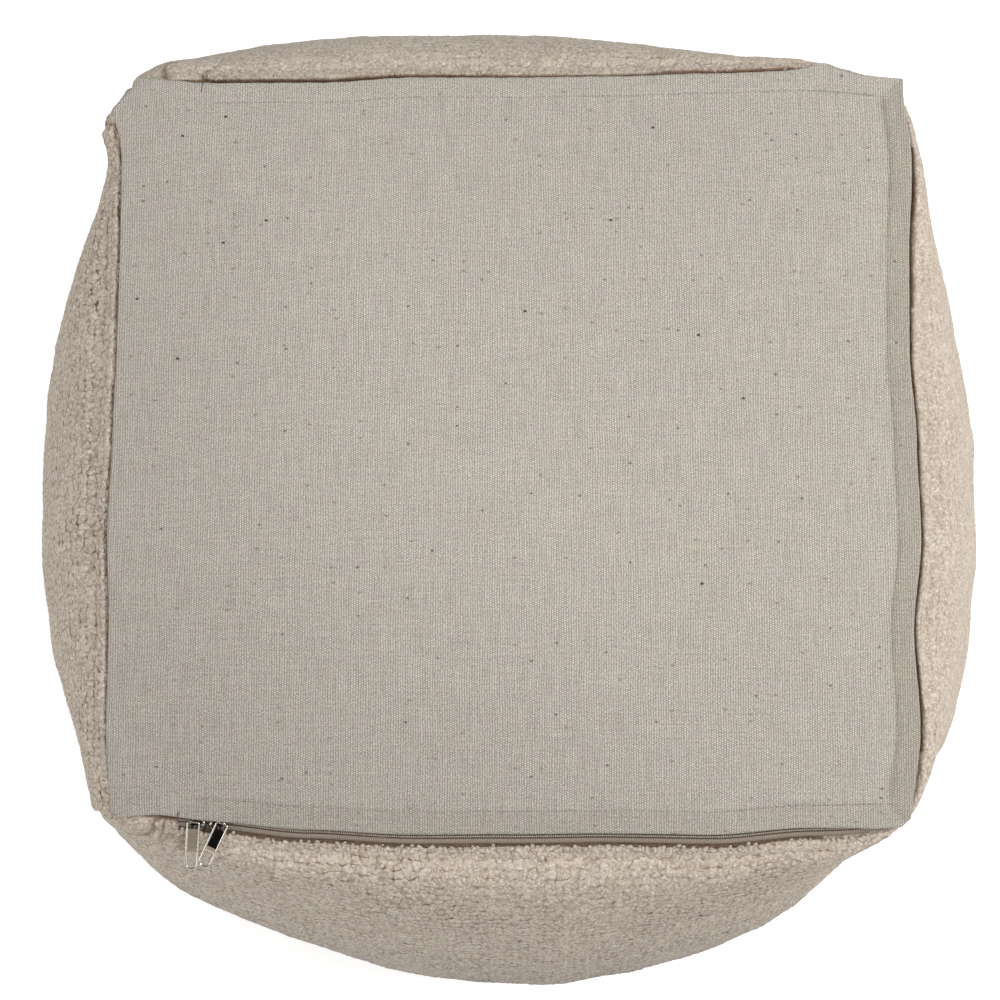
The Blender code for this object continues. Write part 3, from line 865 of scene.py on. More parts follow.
def tints_and_painted_shade(tree, tone, cloth):
    """Faint tints in the cloth, in blots a centimetre wide, and painted shade: darker towards its
    near-left corner, its near edge and away from its middle.
    """
    blots = node(tree, "ShaderNodeTexNoise", Vector=stretched(tree, cloth, (0.55, 1.0, 1.0)),
                 Scale=130.0, Detail=3.0, Roughness=0.6).outputs["Color"]
    tints = nudged(tree, PALEST_TINT, blots, TINT_REACH)
    x, y = on_panel(tree, cloth)
    # Painted shade, falling off towards the near-left corner, the near edge and away from the middle
    painted_falloff = (x + y * 0.75).between(-0.30, -0.02, 0.22, 0.0) + y.between(-0.22, -0.06, 0.14, 0.0)
    painted_falloff = painted_falloff + (x ** 2.0 + y ** 2.0).between(0.004, 0.03, 0.0, 0.06)
    tone = blend_colours(tree, painted_falloff, tone, CANVAS_PAINTED_SHADE, "MULTIPLY")
    return blend_colours(tree, 1.0, tone, tints, "MULTIPLY")


def flecks(tree, cloth, tone):
    """Seed husks and slubs that are spun into the canvas: small dark and rust-brown dots."""
    ragged = nudged(tree, cloth, noise_vector(tree, cloth, 1500.0, 2.0),
                    (FLECK_RAGGED, FLECK_RAGGED, 0.0))
    for fleck in FLECKS:
        place = stretched(tree, ragged, (fleck.stretch, 1.0, 1.0))
        cells = node(tree, "ShaderNodeTexVoronoi", {"voronoi_dimensions": "2D"}, Vector=place,
                     Scale=fleck.places)
        dot = Field(tree, cells.outputs["Distance"]).between(fleck.size * 0.5, fleck.size,
                                                             fleck.strength, 0.0)
        chosen = axis(tree, cells.outputs["Color"], "X").math("LESS_THAN", fleck.share)
        tone = blend_colours(tree, dot * chosen, tone, fleck.colour)
    return tone


TAPE_RIB = (0.440, 0.362, 0.293, 1.0)
TAPE_DARK = (0.075, 0.056, 0.042, 1.0)
TAPE_PAINTED_SHADE = (0.018, 0.011, 0.007, 1.0)
TAPE_RIB_PITCH = 0.95 * MM
TAPE_PICK_PITCH = 0.62 * MM
TAPE_PAINTED_SHADE_LINES = (10.4 * MM, 12.5 * MM)   # across the tape, on either side of the coil


def tape_material():
    """Woven taupe tape, ribbed across, with painted shade in dark lines along either side of the coil
    and on its part in the gap beyond the near side.
    """
    material, tree, shader = new_material("zip_tape")
    cloth = on_cloth(tree)
    along, over = axis(tree, cloth, "X"), axis(tree, cloth, "Y")
    ribs = abs((along * (math.pi / TAPE_RIB_PITCH)).sine())
    picks = abs((over * (math.pi / TAPE_PICK_PITCH)).sine())
    weave = (ribs * 0.6 + 0.4) * (picks * 0.35 + 0.65)
    fuzz = noise(tree, cloth, 1400.0, 2.0, 0.6)
    tone = (weave * fuzz.between(0.3, 0.7, 0.75, 1.1)).between(0.15, 0.95)
    # Painted shade in dark lines along either side of the coil
    for groove in TAPE_PAINTED_SHADE_LINES:
        tone = tone * abs(over - groove).between(0.40 * MM, 0.80 * MM)
    tone = blend_colours(tree, tone, TAPE_DARK, TAPE_RIB)
    # Painted shade: the tape beyond the near side, in the gap under the cover's edge, is painted
    # nearly black
    tone = blend_colours(tree, amount(tree, "painted_gap_shade") * 0.95, tone, TAPE_PAINTED_SHADE)
    tree.links.new(tone, shader.inputs["Base Color"])
    tree.links.new(relief(tree, weave, 0.25 * MM), shader.inputs["Normal"])
    set_finish(shader, Roughness=0.85, Sheen_Weight=0.15)
    return material


COIL_DARK = (0.640, 0.555, 0.440, 1.0)
COIL_PALE = (0.780, 0.685, 0.560, 1.0)


def coil_material():
    """Taupe nylon coil, a little glossy."""
    material, tree, shader = new_material("zip_coil")
    wear = noise(tree, on_piece(tree), 300.0, 2.0).between(0.3, 0.7)
    tone = blend_colours(tree, wear, COIL_DARK, COIL_PALE)
    tree.links.new(tone, shader.inputs["Base Color"])
    set_finish(shader, Roughness=0.40)
    return material


def metal_material(name, clean, worn, smooth, rough, metallic=1.0):
    """Plated metal with faint handling marks."""
    material, tree, shader = new_material(name)
    marks = noise(tree, on_piece(tree), 420.0, 3.0, 0.6)
    tree.links.new(marks.between(0.3, 0.8, smooth, rough).socket, shader.inputs["Roughness"])
    tone = blend_colours(tree, marks.between(0.35, 0.75), clean, worn)
    tree.links.new(tone, shader.inputs["Base Color"])
    set_finish(shader, Metallic=metallic)
    return material


def nickel_material():
    """The bright plating of the pulls' rims."""
    return metal_material("nickel", (0.84, 0.82, 0.79, 1.0), (0.64, 0.61, 0.57, 1.0), 0.08, 0.20)


def dark_painted_nickel_material():
    """The sliders and one pull's plate: nickel painted dark, a painted dark reflection."""
    return metal_material("nickel_painted_dark", (0.20, 0.18, 0.155, 1.0), (0.32, 0.27, 0.22, 1.0),
                          0.08, 0.22)


def warm_painted_nickel_material():
    """The other pull's plate and both lips: nickel painted duller and browner, a painted reflection
    of the boucle.
    """
    return metal_material("nickel_painted_warm", (0.45, 0.38, 0.29, 1.0), (0.37, 0.30, 0.22, 1.0),
                          0.16, 0.30, 0.5)


THREAD_DARK = (0.270, 0.235, 0.200, 1.0)
THREAD_PALE = (0.400, 0.355, 0.305, 1.0)


def thread_material():
    """Spun sewing thread, a shade darker than the canvas."""
    material, tree, shader = new_material("sewing_thread")
    twist = noise(tree, on_piece(tree), 1800.0, 2.0, 0.6)
    tone = blend_colours(tree, twist.between(0.3, 0.7), THREAD_DARK, THREAD_PALE)
    tree.links.new(tone, shader.inputs["Base Color"])
    tree.links.new(relief(tree, twist, 0.1 * MM), shader.inputs["Normal"])
    set_finish(shader, Roughness=0.8)
    return material


# ---------------------------------------------------------------- the boucle cover

SIDE_STEPS = 160
EDGE_STEPS = 8              # between two of the top edge's rows


def side_section(index, t):
    """Rows of points up a side, over its top edge and in under the canvas."""
    shares = 0.5 - 0.5 * np.cos(np.linspace(0.0, math.pi, SIDE_STEPS))
    rows = [side_at(index, t, np.full_like(t, share)) for share in shares]
    edge = [edge_at(index, t, number) for number in range(len(COVER_EDGE))]
    edge.append(2 * edge[-1] - edge[-2])
    return np.array(rows + catmull([rows[-6]] + edge, EDGE_STEPS)[1:])


def evenly_spaced(section, count):
    """The same curves with their points at even lengths, column by column."""
    steps = np.linalg.norm(np.diff(section, axis=0), axis=-1)
    lengths = np.concatenate((np.zeros((1, section.shape[1])), np.cumsum(steps, axis=0)))
    points = np.empty((count, section.shape[1], 3))
    for column in range(section.shape[1]):
        places = np.linspace(0.0, lengths[-1, column], count)
        for way in range(3):
            points[:, column, way] = np.interp(places, lengths[:, column], section[:, column, way])
    return points, lengths[-1]


def softened(points, passes):
    """Round off kinks along each column."""
    for _ in range(passes):
        points[1:-1] = (points[:-2] + 2 * points[1:-1] + points[2:]) / 4
    return points


SEAM_ALLOWANCE = 8.0 * MM


def extruded_border(bm):
    """Extrude a bmesh's open border, and give the new vertices."""
    border = [edge for edge in bm.edges if edge.is_boundary]
    made = bmesh.ops.extrude_edge_only(bm, edges=border)["geom"]
    return [item for item in made if isinstance(item, bmesh.types.BMVert)]


def close_panel(mesh):
    """Turn a panel's border in as a seam allowance, and close it behind through the filling."""
    bm = bmesh.new()
    bm.from_mesh(mesh)
    heart = Vector((SHIFT[0], SHIFT[1], HEIGHT / 2))
    for vert in extruded_border(bm):
        vert.co += (heart - vert.co).normalized() * SEAM_ALLOWANCE
    bmesh.ops.pointmerge(bm, verts=extruded_border(bm), merge_co=heart)
    bmesh.ops.recalc_face_normals(bm, faces=bm.faces)
    bm.to_mesh(mesh)
    bm.free()


def near_border(count, steps):
    """For each of a row of vertices: 0 at either end, 1 from this many steps in."""
    here = np.arange(count)
    return ease(np.minimum(here, here[::-1]) / steps)


# Creases in the cover: side, its place t at the top edge and lower down, how far down it runs,
# how deep it is and how wide
Crease = namedtuple("Crease", "index t_top t_low reach depth width")
CREASES = (
    Crease(NEAR, -0.815, -0.785, 0.034, 2.6 * MM, 3.0 * MM),
    Crease(NEAR, -0.885, -0.930, 0.024, 1.6 * MM, 4.0 * MM),
    Crease(NEAR, -0.860, -0.850, 0.018, 1.2 * MM, 1.0 * MM),
    Crease(NEAR, -0.845, -0.875, 0.022, 1.2 * MM, 1.0 * MM),
    Crease(NEAR, -0.835, -0.815, 0.014, 1.2 * MM, 0.9 * MM),
    Crease(FAR, 0.800, 0.735, 0.016, 2.4 * MM, 1.6 * MM),
    Crease(FAR, 0.900, 0.870, 0.020, 1.4 * MM, 3.0 * MM),
    Crease(LEFT, -0.860, -0.800, 0.028, 2.0 * MM, 3.0 * MM),
)
CREASE_NARROW = 2.2         # how much narrower than a crease its dark bottom is
# How dark a crease's bottom is painted: painted shade
CREASE_PAINTED_SHADE = 0.7


def creased(index, t, down):
    """How deep the creases are at each vertex, and how dark their bottoms are painted: painted shade.
    """
    depth = np.zeros(np.broadcast_shapes(t.shape, down.shape))
    dark = np.zeros_like(depth)
    for crease in CREASES:
        if crease.index == index:
            share = np.clip(down / crease.reach, 0.0, 1.0)
            away = (t - lerp(crease.t_top, crease.t_low, share ** 1.6)) * SEAT_HALF / crease.width
            here = np.exp(-away ** 2) * (1.0 - share ** 2)
            depth += here * crease.depth
            bottom = np.exp(-(away * CREASE_NARROW) ** 2) * (1.0 - share ** 2)
            dark = np.maximum(dark, bottom * CREASE_PAINTED_SHADE)
    return depth, dark


# Per side, the painted shade on its turned edge from the crest down to the canvas: mm past the crest
# where it begins, within how many mm it grows, and how dark it gets; then how clear the loops are at
# the top and lower down, which scales their relief and their painted gap shade
Shade = namedtuple("Shade", "start reach most clear_top clear_low")
SHADES = (
    Shade(1.5, 2.0, 0.85, 1.00, 1.15),
    Shade(-1.6, 3.4, 0.90, 0.50, 0.36),
    Shade(-0.8, 2.4, 0.90, 0.60, 0.50),
    Shade(0.9, 1.2, 0.60, 1.35, 1.20),
)


def painted_pocket_shade(index, points, v, rng):
    """The painted shade on a panel's turned edge, from its crest down into the gap at the canvas."""
    shade = SHADES[index]
    crest = np.take_along_axis(v, points[..., 2].argmax(axis=0)[None, :], axis=0)
    ragged = soft_noise(v.shape, 60, rng) * 0.7 * MM
    return ease((v - crest - shade.start * MM + ragged) / (shade.reach * MM)) * shade.most


STAND_EXTRA = 0.15          # how much prouder the loops stand near a panel's top
STAND_FROM = 34.0 * MM      # below the end of its length, where that begins
STAND_REACH = 16.0 * MM
CLEAR_FROM = 12.0 * MM      # below the same end, where the loops begin to look less clear
CLEAR_REACH = 50.0 * MM
SEAM_GATHER = 13.0 * MM     # how far apart the gathers are: up a corner seam, over 2 pi,
SEAT_GATHER = 2.6 * MM      # and along the seat's seam
SHAKE = 0.22                # how far a vertex strays along the cloth, in grid steps


def cloth_relief(index, u, v, fade, rng):
    """How far a side's cloth stands out at each vertex, for its loops, the lumps of its stuffing
    and the gathers along its seams, and how clear its loops look there."""
    rows, columns = v.shape
    length = v[-1, 0]
    from_seam, from_seat = near_border(columns, 9.0), near_border(rows, 7.0)[:, None]
    wide = near_border(columns, 40.0) * near_border(rows, 40.0)[:, None]
    calm = 0.85 + 0.30 * soft_noise(v.shape, 11, rng)
    stand = 1.0 + STAND_EXTRA * ease((v - length + STAND_FROM) / STAND_REACH)
    clear = lerp(SHADES[index].clear_top, SHADES[index].clear_low,
                 ease((length - CLEAR_FROM - v) / CLEAR_REACH))
    lift = (loops_at(u, v) - 0.5) * LOOP_RELIEF * calm * stand * clear * fade
    lift += soft_noise(v.shape, 5, rng) * DENTS * wide
    lift += soft_noise(v.shape, 24, rng) * LUMPS * fade
    lift += soft_noise(v.shape, 70, rng) * GRIT * 2.0 * fade
    lift += rng.uniform(-GRIT, GRIT, v.shape) * fade
    gathers = np.sin(v / SEAM_GATHER + 3.0 * soft_noise(v.shape, 9, rng))
    lift += gathers * PUCKERS * (1.0 - from_seam) * fade * 1.2
    gathers = np.sin(u / SEAT_GATHER + 3.0 * soft_noise(v.shape, 9, rng))
    lift += gathers * PUCKERS * 0.6 * (1.0 - from_seat) * fade * (v < length / 2)
    return lift, clear * calm


def side_panel(index, boucle):
    """One side of the cover: a bulging panel of boucle loops with its turned top edge."""
    rng = np.random.default_rng(SEED + index)
    columns, rows = PANEL_GRID
    shape = (rows + 1, columns + 1)
    t = np.linspace(-1.0, 1.0, columns + 1)
    points, lengths = evenly_spaced(side_section(index, t), rows + 1)
    points = softened_seat(softened(points, 2))
    length = lengths.mean()
    u = np.broadcast_to(t * SEAT_HALF, shape)
    v = np.broadcast_to(np.linspace(0.0, length, rows + 1)[:, None], shape)
    fade = near_border(columns + 1, 2.0) * near_border(rows + 1, 2.0)[:, None]
    lift, clear = cloth_relief(index, u, v, fade, rng)
    depth, dark = creased(index, t[None, :], length - TOP_TURN - v)
    # Painted shade on the turned edge, with the painted shade in the creases' bottoms, stored for the
    # boucle's colour
    dark = np.maximum(dark, painted_pocket_shade(index, points, v, rng))
    lift -= depth * fade
    normals = surface_normals(points)
    along, up = np.gradient(points, axis=1), np.gradient(points, axis=0)
    shake_u = rng.uniform(-SHAKE, SHAKE, shape) * fade
    shake_v = rng.uniform(-SHAKE, SHAKE, shape) * fade
    points = points + normals * lift[..., None]
    points = points + along * shake_u[..., None] + up * shake_v[..., None]
    name = f"{SIDES[index].name}_panel"
    mesh, order = grid_piece(name, columns, rows)
    lay_panel(name, mesh, order, (points, u, v), {"painted_shade": dark, "clear": clear}, boucle)


def lay_panel(name, mesh, order, places, amounts, boucle):
    """Finish a panel of the cover: its vertices' places and amounts, closed behind."""
    points, u, v = places
    set_places(mesh, order, points + SHIFT)
    set_cloth_map(mesh, order, u, v)
    for key, values in amounts.items():
        set_amount(mesh, order, key, values)
    close_panel(mesh)
    piece = finished(name, mesh, boucle)
    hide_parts("cover")


def seat_panel(boucle):
    """The seat: a crowned square of boucle that the pouf lies on here."""
    rng = np.random.default_rng(SEED + 9)
    mesh, order = grid_piece("seat_panel", SEAT_GRID, SEAT_GRID)
    a = np.linspace(-1.0, 1.0, SEAT_GRID + 1)
    x, y = np.meshgrid(-a, a)
    ring = np.maximum(np.abs(x), np.abs(y))
    crown = SEAT_CROWN * np.clip((ring - SEAT_FLAT) / (1.0 - SEAT_FLAT), 0.0, None) ** 2
    points = softened_seat(np.stack((x * SEAT_HALF, y * SEAT_HALF, crown), axis=-1))
    fade = near_border(SEAT_GRID + 1, 3.0) * near_border(SEAT_GRID + 1, 3.0)[:, None]
    u, v = x * SEAT_HALF, y * SEAT_HALF
    points[..., 2] += (1.0 - loops_at(u, v)) * LOOP_RELIEF * fade
    points[..., 2] += rng.uniform(0.0, 0.2, x.shape) * MM * fade
    amounts = {"painted_shade": np.zeros_like(x), "clear": np.full_like(x, 0.7)}
    lay_panel("seat_panel", mesh, order, (points, u, v), amounts, boucle)


# ---------------------------------------------------------------- loops that stand up

def nub():
    """A knobbly loop that closes on itself: a squashed ball, low in faces."""
    bm = bmesh.new()
    bmesh.ops.create_uvsphere(bm, u_segments=8, v_segments=5, radius=1.0)
    for vert in bm.verts:
        x, y, z = vert.co
        vert.co *= 1.0 + 0.20 * math.sin(3.0 * x + 1.0) * math.sin(4.0 * y + 2.0 * z)
        vert.co.z *= 0.75
    return bm


def ring_of_yarn():
    """An open loop of yarn standing off the cloth: a rope bent round in two thirds of a ring."""
    bm = bmesh.new()
    made = bmesh.ops.create_circle(bm, cap_ends=True, segments=6, radius=0.42,
                                   matrix=Matrix.Translation((1.0, 0, 0))
                                   @ Matrix.Rotation(math.pi / 2, 4, "X"))
    faces = list({face for vert in made["verts"] for face in vert.link_faces})
    bmesh.ops.spin(bm, geom=faces, cent=(0, 0, 0), axis=(0, 0, 1), angle=math.pi * 1.35, steps=8,
                   use_merge=False)
    bmesh.ops.recalc_face_normals(bm, faces=bm.faces)
    return bm


def edge_point(index, t, depth):
    """Points on the cover's turned edge: depth 0 before its crest, 1 at its foot by the tape."""
    rows = np.array([edge_at(index, t, number) for number in (1, 2, 3, 4)])
    at = np.clip(depth, 0.0, 1.0) * 3.0
    low = np.clip(at.astype(int), 0, 2)
    pick = np.arange(len(t))
    return lerp(rows[low, pick], rows[low + 1, pick], (at - low)[:, None]) + SHIFT


# Lanes of nubs along each side's turned edge, by depth, and how large the nubs are there in mm
NUB_STEP = 3.7 * MM
LANE_END = 0.88             # t
EDGE_LANES = {NEAR: (0.50, 0.28), RIGHT: (), FAR: (0.16,), LEFT: (0.30,)}
NUB_SIZES = {NEAR: (0.9, 1.6), RIGHT: (0.7, 1.2), FAR: (0.6, 1.1), LEFT: (0.7, 1.2)}
NUB_SINK = 0.48             # of a nub's size, into the cloth
STRAY_NUBS = 26             # on each side
STRAY_SINK = 0.9 * MM       # into the side that they stand on
RING_LIFT = 0.15            # of a ring's size, off the cloth
# Single open loops that stand out on the edge: side, t, depth, size
EDGE_RINGS = ((NEAR, -0.430, 0.30, 2.3 * MM), (NEAR, -0.190, 0.55, 2.0 * MM),
              (NEAR, -0.340, 0.50, 1.7 * MM), (NEAR, 0.28, 0.50, 1.8 * MM),
              (NEAR, 0.61, 0.45, 1.7 * MM), (FAR, 0.30, 0.30, 1.5 * MM))


def nub_spots(rng):
    """Places and sizes for nubs: along the cover's turned edge, and thinly over its sides."""
    spots = []
    for index in range(4):
        low, high = NUB_SIZES[index]
        for lane in EDGE_LANES[index]:
            count = int(SEAT_HALF * 1.8 / NUB_STEP)
            t = np.linspace(-LANE_END, LANE_END, count) + rng.uniform(-0.008, 0.008, count)
            depth = rng.normal(lane, 0.10, count)
            spots += [(point, size) for point, size in
                      zip(edge_point(index, t, depth), rng.uniform(low, high, count) * MM)]
        t, share = rng.uniform(-0.9, 0.9, STRAY_NUBS), rng.uniform(0.30, 0.97, STRAY_NUBS)
        places = side_at(index, t, share) + SHIFT - np.array(SIDES[index].out) * STRAY_SINK
        spots += [(point, size) for point, size in
                  zip(places, rng.uniform(0.8, 1.4, STRAY_NUBS) * MM)]
    return spots


def standing_loops(yarn):
    """Nubs and open rings of yarn that stand on the turned edge and, here and there, elsewhere."""
    rng = np.random.default_rng(SEED + 40)

    def tumbled(point, size, sink):
        turn = Matrix.Rotation(rng.uniform(0, math.tau), 4, "Z")
        tilt = Matrix.Rotation(rng.uniform(-0.6, 0.6), 4, "X") @ Matrix.Rotation(
            rng.uniform(-0.6, 0.6), 4, "Y")
        return Matrix.Translation(Vector(point) - Vector((0, 0, sink * size))) @ tilt @ turn

    nubs, rings = [], []
    for point, size in nub_spots(rng):
        stretch = Matrix.Diagonal((rng.uniform(0.9, 1.6), rng.uniform(0.8, 1.1), 1.0, 1.0))
        nubs.append(tumbled(point, size, NUB_SINK) @ stretch @ Matrix.Scale(size, 4))
    for index, t, depth, size in EDGE_RINGS:
        point = edge_point(index, np.array([t]), np.array([depth]))[0]
        rings.append(tumbled(point, size, -RING_LIFT) @ Matrix.Scale(size * 0.72, 4))
    for name, shape, places in (("edge_nubs", nub(), nubs), ("edge_rings", ring_of_yarn(), rings)):
        finished(name, joined_copies(name, shape, places), yarn)


# ---------------------------------------------------------------- the canvas base

HEM_W = 12.5 * MM           # from the folded edge to the topstitch
HEM_STEPS = 18
FIELD_STEPS = 62
HEM_SHARE = 0.92            # the fine steps begin at this ring
HEM_SHADES = ((NEAR, 0.45), (RIGHT, 1.0), (FAR, 0.0))      # how much darker the doubled cloth looks
GROOVE_W = 0.9 * MM         # of the topstitch,
GROOVE = 0.45 * MM          # its depth between stitches,
PUCKER = 0.5 * MM           # and how much deeper the stitches pull it
SOFT_LIE = 0.6 * MM         # how unevenly the panel lies
EDGE_ROUND = 1.2 * MM


def ring_steps():
    """Grid lines of the canvas from -1 to 1, finer in the hem."""
    field = np.linspace(0.0, HEM_SHARE, FIELD_STEPS, endpoint=False)
    hem = np.linspace(HEM_SHARE, 1.0, HEM_STEPS + 1)
    half = np.concatenate((field, hem))
    return np.concatenate((-half[:0:-1], half))


def on_side(index, a, b, ring):
    """The place t along a side at each vertex of the canvas, and which vertices are its own."""
    out = SIDES[index].out
    t = np.clip((a * -out[1] + b * out[0]) / np.maximum(ring, 1e-9), -1.0, 1.0)
    return t, a * out[0] + b * out[1] >= ring - 1e-12


def canvas_at(a, b):
    """A point of the canvas's underside for grid lines a (to the right) and b (to the far)."""
    ring = np.maximum(np.abs(a), np.abs(b))
    safe = np.maximum(ring, 1e-9)[..., None]
    point = np.zeros(a.shape + (3,))
    for index in range(4):
        t, mine = on_side(index, a, b, ring)
        rim = rim_at(index, t)
        place = rim * safe + (trimmed_rim(index, t) - rim) * safe ** 9
        place[..., 2] = underside(t, ring)
        point[mine] = place[mine]
    return point, ring


# A corner of the canvas as it is sewn: the cut's middle, and its outward direction in degrees
Cut = namedtuple("Cut", "x y turn")
CUTS = (
    Cut(-0.2235, -0.2100, 236.0),
    Cut(0.2225, -0.2120, 312.0),
    Cut(0.2262, 0.2160, 48.0),
    Cut(-0.2262, 0.2040, 141.0),
)

# Small ears in the canvas's outline: side, place t, how wide in t, and how far out (or in,
# below 0)
Ear = namedtuple("Ear", "index t width out")
EARS = (
    Ear(LEFT, -0.925, 0.085, 7.6 * MM),
    Ear(RIGHT, -0.93, 0.10, 0.4 * MM),
    Ear(NEAR, 0.93, 0.08, 1.2 * MM),
    Ear(NEAR, -0.875, 0.085, -2.8 * MM),
    Ear(FAR, -0.785, 0.06, 2.4 * MM),
    Ear(RIGHT, 0.960, 0.07, -1.0 * MM),
    Ear(FAR, -0.800, 0.040, 2.8 * MM),
)


def trimmed_rim(index, t):
    """The canvas's outline with its corners taken in as they are sewn."""
    rim = rim_at(index, t)
    for ear in EARS:
        if ear.index == index:
            out = np.exp(-((t - ear.t) / ear.width) ** 2) * ear.out * (1.0 - np.abs(t) ** 40)
            rim = rim + np.array(SIDES[index].out) * out[..., None]
    for cut in CUTS:
        out = np.array((math.cos(math.radians(cut.turn)), math.sin(math.radians(cut.turn)), 0.0))
        past = (rim - np.array((cut.x, cut.y, 0.0))) @ out
        rim = rim - out * np.clip(past, 0.0, None)[..., None]
    return rim


def canvas_base(canvas):
    """The base panel: one sheet with a folded hem on its zipped sides and a soft, uneven lie."""
    rng = np.random.default_rng(SEED + 20)
    lines = ring_steps()
    count = len(lines) - 1
    mesh, order = grid_piece("canvas_base", count, count)
    a, b = np.meshgrid(lines, lines)
    points, ring = canvas_at(a, b)
    inside = edge_distance(points)
    hem, band = hem_height(a, b, ring, inside)
    lie = soft_noise(a.shape, 10, rng) * SOFT_LIE * ease((1.0 - ring) / 0.2)
    rounding = -1.0 * MM * np.clip(1.0 - inside / EDGE_ROUND, 0.0, 1.0) ** 2
    points[..., 2] += PANEL_T + hem + lie + rounding
    set_places(mesh, order, points + SHIFT)
    set_cloth_map(mesh, order, points[..., 0], points[..., 1])
    set_amount(mesh, order, "hem", band)
    turn_hem_under(mesh)
    piece = finished("canvas_base", mesh, canvas)
    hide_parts("base_canvas")


OUTLINE_STEPS = 240         # on each side
OUTLINE_PART = 80           # of them measured at once


def edge_distance(points):
    """How far each point of the canvas is inside its nearest edge."""
    t = np.linspace(-1.0, 1.0, OUTLINE_STEPS)
    outline = np.concatenate([trimmed_rim(index, t)[:, :2] for index in range(4)])
    flat = points[..., :2].reshape(-1, 2)
    best = np.full(len(flat), np.inf)
    for part in np.split(outline, len(outline) // OUTLINE_PART):
        gap = np.linalg.norm(flat[:, None, :] - part[None, :, :], axis=-1).min(axis=1)
        best = np.minimum(best, gap)
    return best.reshape(points.shape[:2])


def hem_height(a, b, ring, inside):
    """How far the hem stands above the field, with the dimples that its stitches pull, and
    how much darker its doubled cloth looks."""
    height, band = np.zeros_like(a), np.zeros_like(a)
    for index, shade in HEM_SHADES:
        t, own = on_side(index, a, b, ring)
        mine = own * zipped(index, t)
        step = ease((HEM_W + 1.6 * MM - inside) / (1.0 * MM))
        groove = np.exp(-((inside - HEM_W) / GROOVE_W) ** 2)
        dimples = 0.5 + 0.5 * np.sin(t * 90.0) * np.sin(t * 37.0 + 1.0)
        height += mine * (HEM_EXTRA * step - GROOVE * groove - PUCKER * dimples * groove)
        band += mine * step * shade
    return height, band


HEM_FOLD = ((-0.1, 0.8), (0.6, 0.7), (7.0, -0.1))      # mm in and down, one step after another


def turn_hem_under(mesh):
    """Fold the canvas's edge down and back under itself."""
    bm = bmesh.new()
    bm.from_mesh(mesh)
    heart = Vector((SHIFT[0], SHIFT[1], 0.0))
    for inwards, down in HEM_FOLD:
        for vert in extruded_border(bm):
            way = vert.co - heart
            way.z = 0.0
            vert.co -= way.normalized() * (inwards * MM)
            vert.co.z -= down * MM
    bmesh.ops.recalc_face_normals(bm, faces=bm.faces)
    if sum(face.normal.z for face in bm.faces) < 0:
        bmesh.ops.reverse_faces(bm, faces=bm.faces[:])
    bm.to_mesh(mesh)
    bm.free()


STITCH_L = 2.7 * MM
STITCH_GAP = 0.7 * MM
STITCH_R = 0.20 * MM
STITCH_DIP = 0.34 * MM      # of its ends, into the cloth
STITCH_SINK = 0.30 * MM     # of the whole stitch, into the hem
CANVAS_HALF = 0.215         # half the canvas's width, near enough


def hem_stitches(thread):
    """The topstitch round the hem, one short thread after another."""
    shape = bmesh.new()
    bmesh.ops.create_cone(shape, cap_ends=True, segments=6, radius1=STITCH_R, radius2=STITCH_R,
                          depth=STITCH_L, matrix=Matrix.Rotation(math.pi / 2, 4, "Y"))
    long_edges = [edge for edge in shape.edges
                  if abs(edge.verts[0].co.x - edge.verts[1].co.x) > STITCH_L / 2]
    bmesh.ops.subdivide_edges(shape, edges=long_edges, cuts=2)
    for vert in shape.verts:
        vert.co.z -= STITCH_DIP * (abs(vert.co.x) / (STITCH_L / 2)) ** 4
    places = []
    for index, first, last in ((NEAR, ZIP_START_T + 0.03, 0.93), (RIGHT, -0.93, 0.93),
                               (FAR, -0.93, ZIP_END_T - 0.03)):
        t = np.linspace(first, last, 1500)
        line = rim_at(index, t) + SHIFT - np.array(SIDES[index].out) * HEM_W
        ring = 1.0 - HEM_W / CANVAS_HALF
        line[:, 2] = underside(t, ring) + PANEL_T + HEM_EXTRA - STITCH_SINK
        lengths = lengths_along(line)
        spots = np.arange(STITCH_L, lengths[-1], STITCH_L + STITCH_GAP)
        middle, ahead = points_along(line, lengths, spots), points_along(line, lengths, spots + MM)
        for spot, forward in zip(middle, ahead):
            places.append(frame_at(spot, forward - spot, (0.0, 0.0, 1.0)))
    finished("hem_stitches", joined_copies("hem_stitches", shape, places), thread)


def frame_at(origin, along, up):
    """A 4 by 4 matrix with X along, Z close to up, and its origin at a point."""
    x = np.array(along, float)
    x /= np.linalg.norm(x)
    y = np.cross(up, x)
    y /= np.linalg.norm(y)
    z = np.cross(x, y)
    place = np.eye(4)
    place[:3, 0], place[:3, 1], place[:3, 2], place[:3, 3] = x, y, z, origin
    return place


# ---------------------------------------------------------------- the zip

def zip_route(first_share, step):
    """(side, t) arrays along the zip, from a share of the near side to its end on the far."""
    route = []
    for index, first, last in ((NEAR, first_share, 1.0), (RIGHT, -1.0, 1.0),
                               (FAR, -1.0, ZIP_END_T)):
        length = (last - first) * SEAT_HALF
        route.append((index, np.linspace(first, last, int(length / step), endpoint=index == FAR)))
    return route


def tape_place(row, t):
    """A row's place in the tape's section in mm, easing to the corner's."""
    weight = np.abs(t) ** CORNER_BLEND
    return np.stack((lerp(row.out, row.corner_out, weight), lerp(row.up, row.corner_up, weight)),
                    axis=-1)


def channel_at(index, t, place):
    """Points of the zip's channel, from places (out, up) in mm in its section. The channel leans
    in as the cover's edge over it does."""
    lean = along_side(SIDES[index].lean, t) * (1.0 - np.abs(t) ** CORNER_BLEND)
    out = place[..., :1] * MM - lean[..., None]
    point = rim_at(index, t) + outward(index, t) * out
    point[..., 2] = underside(t) + place[..., 1] * MM
    return point + SHIFT


TAPE_STEP = 3.0 * MM
TAPE_MIDDLE = 4             # the point of its section that its length is measured along


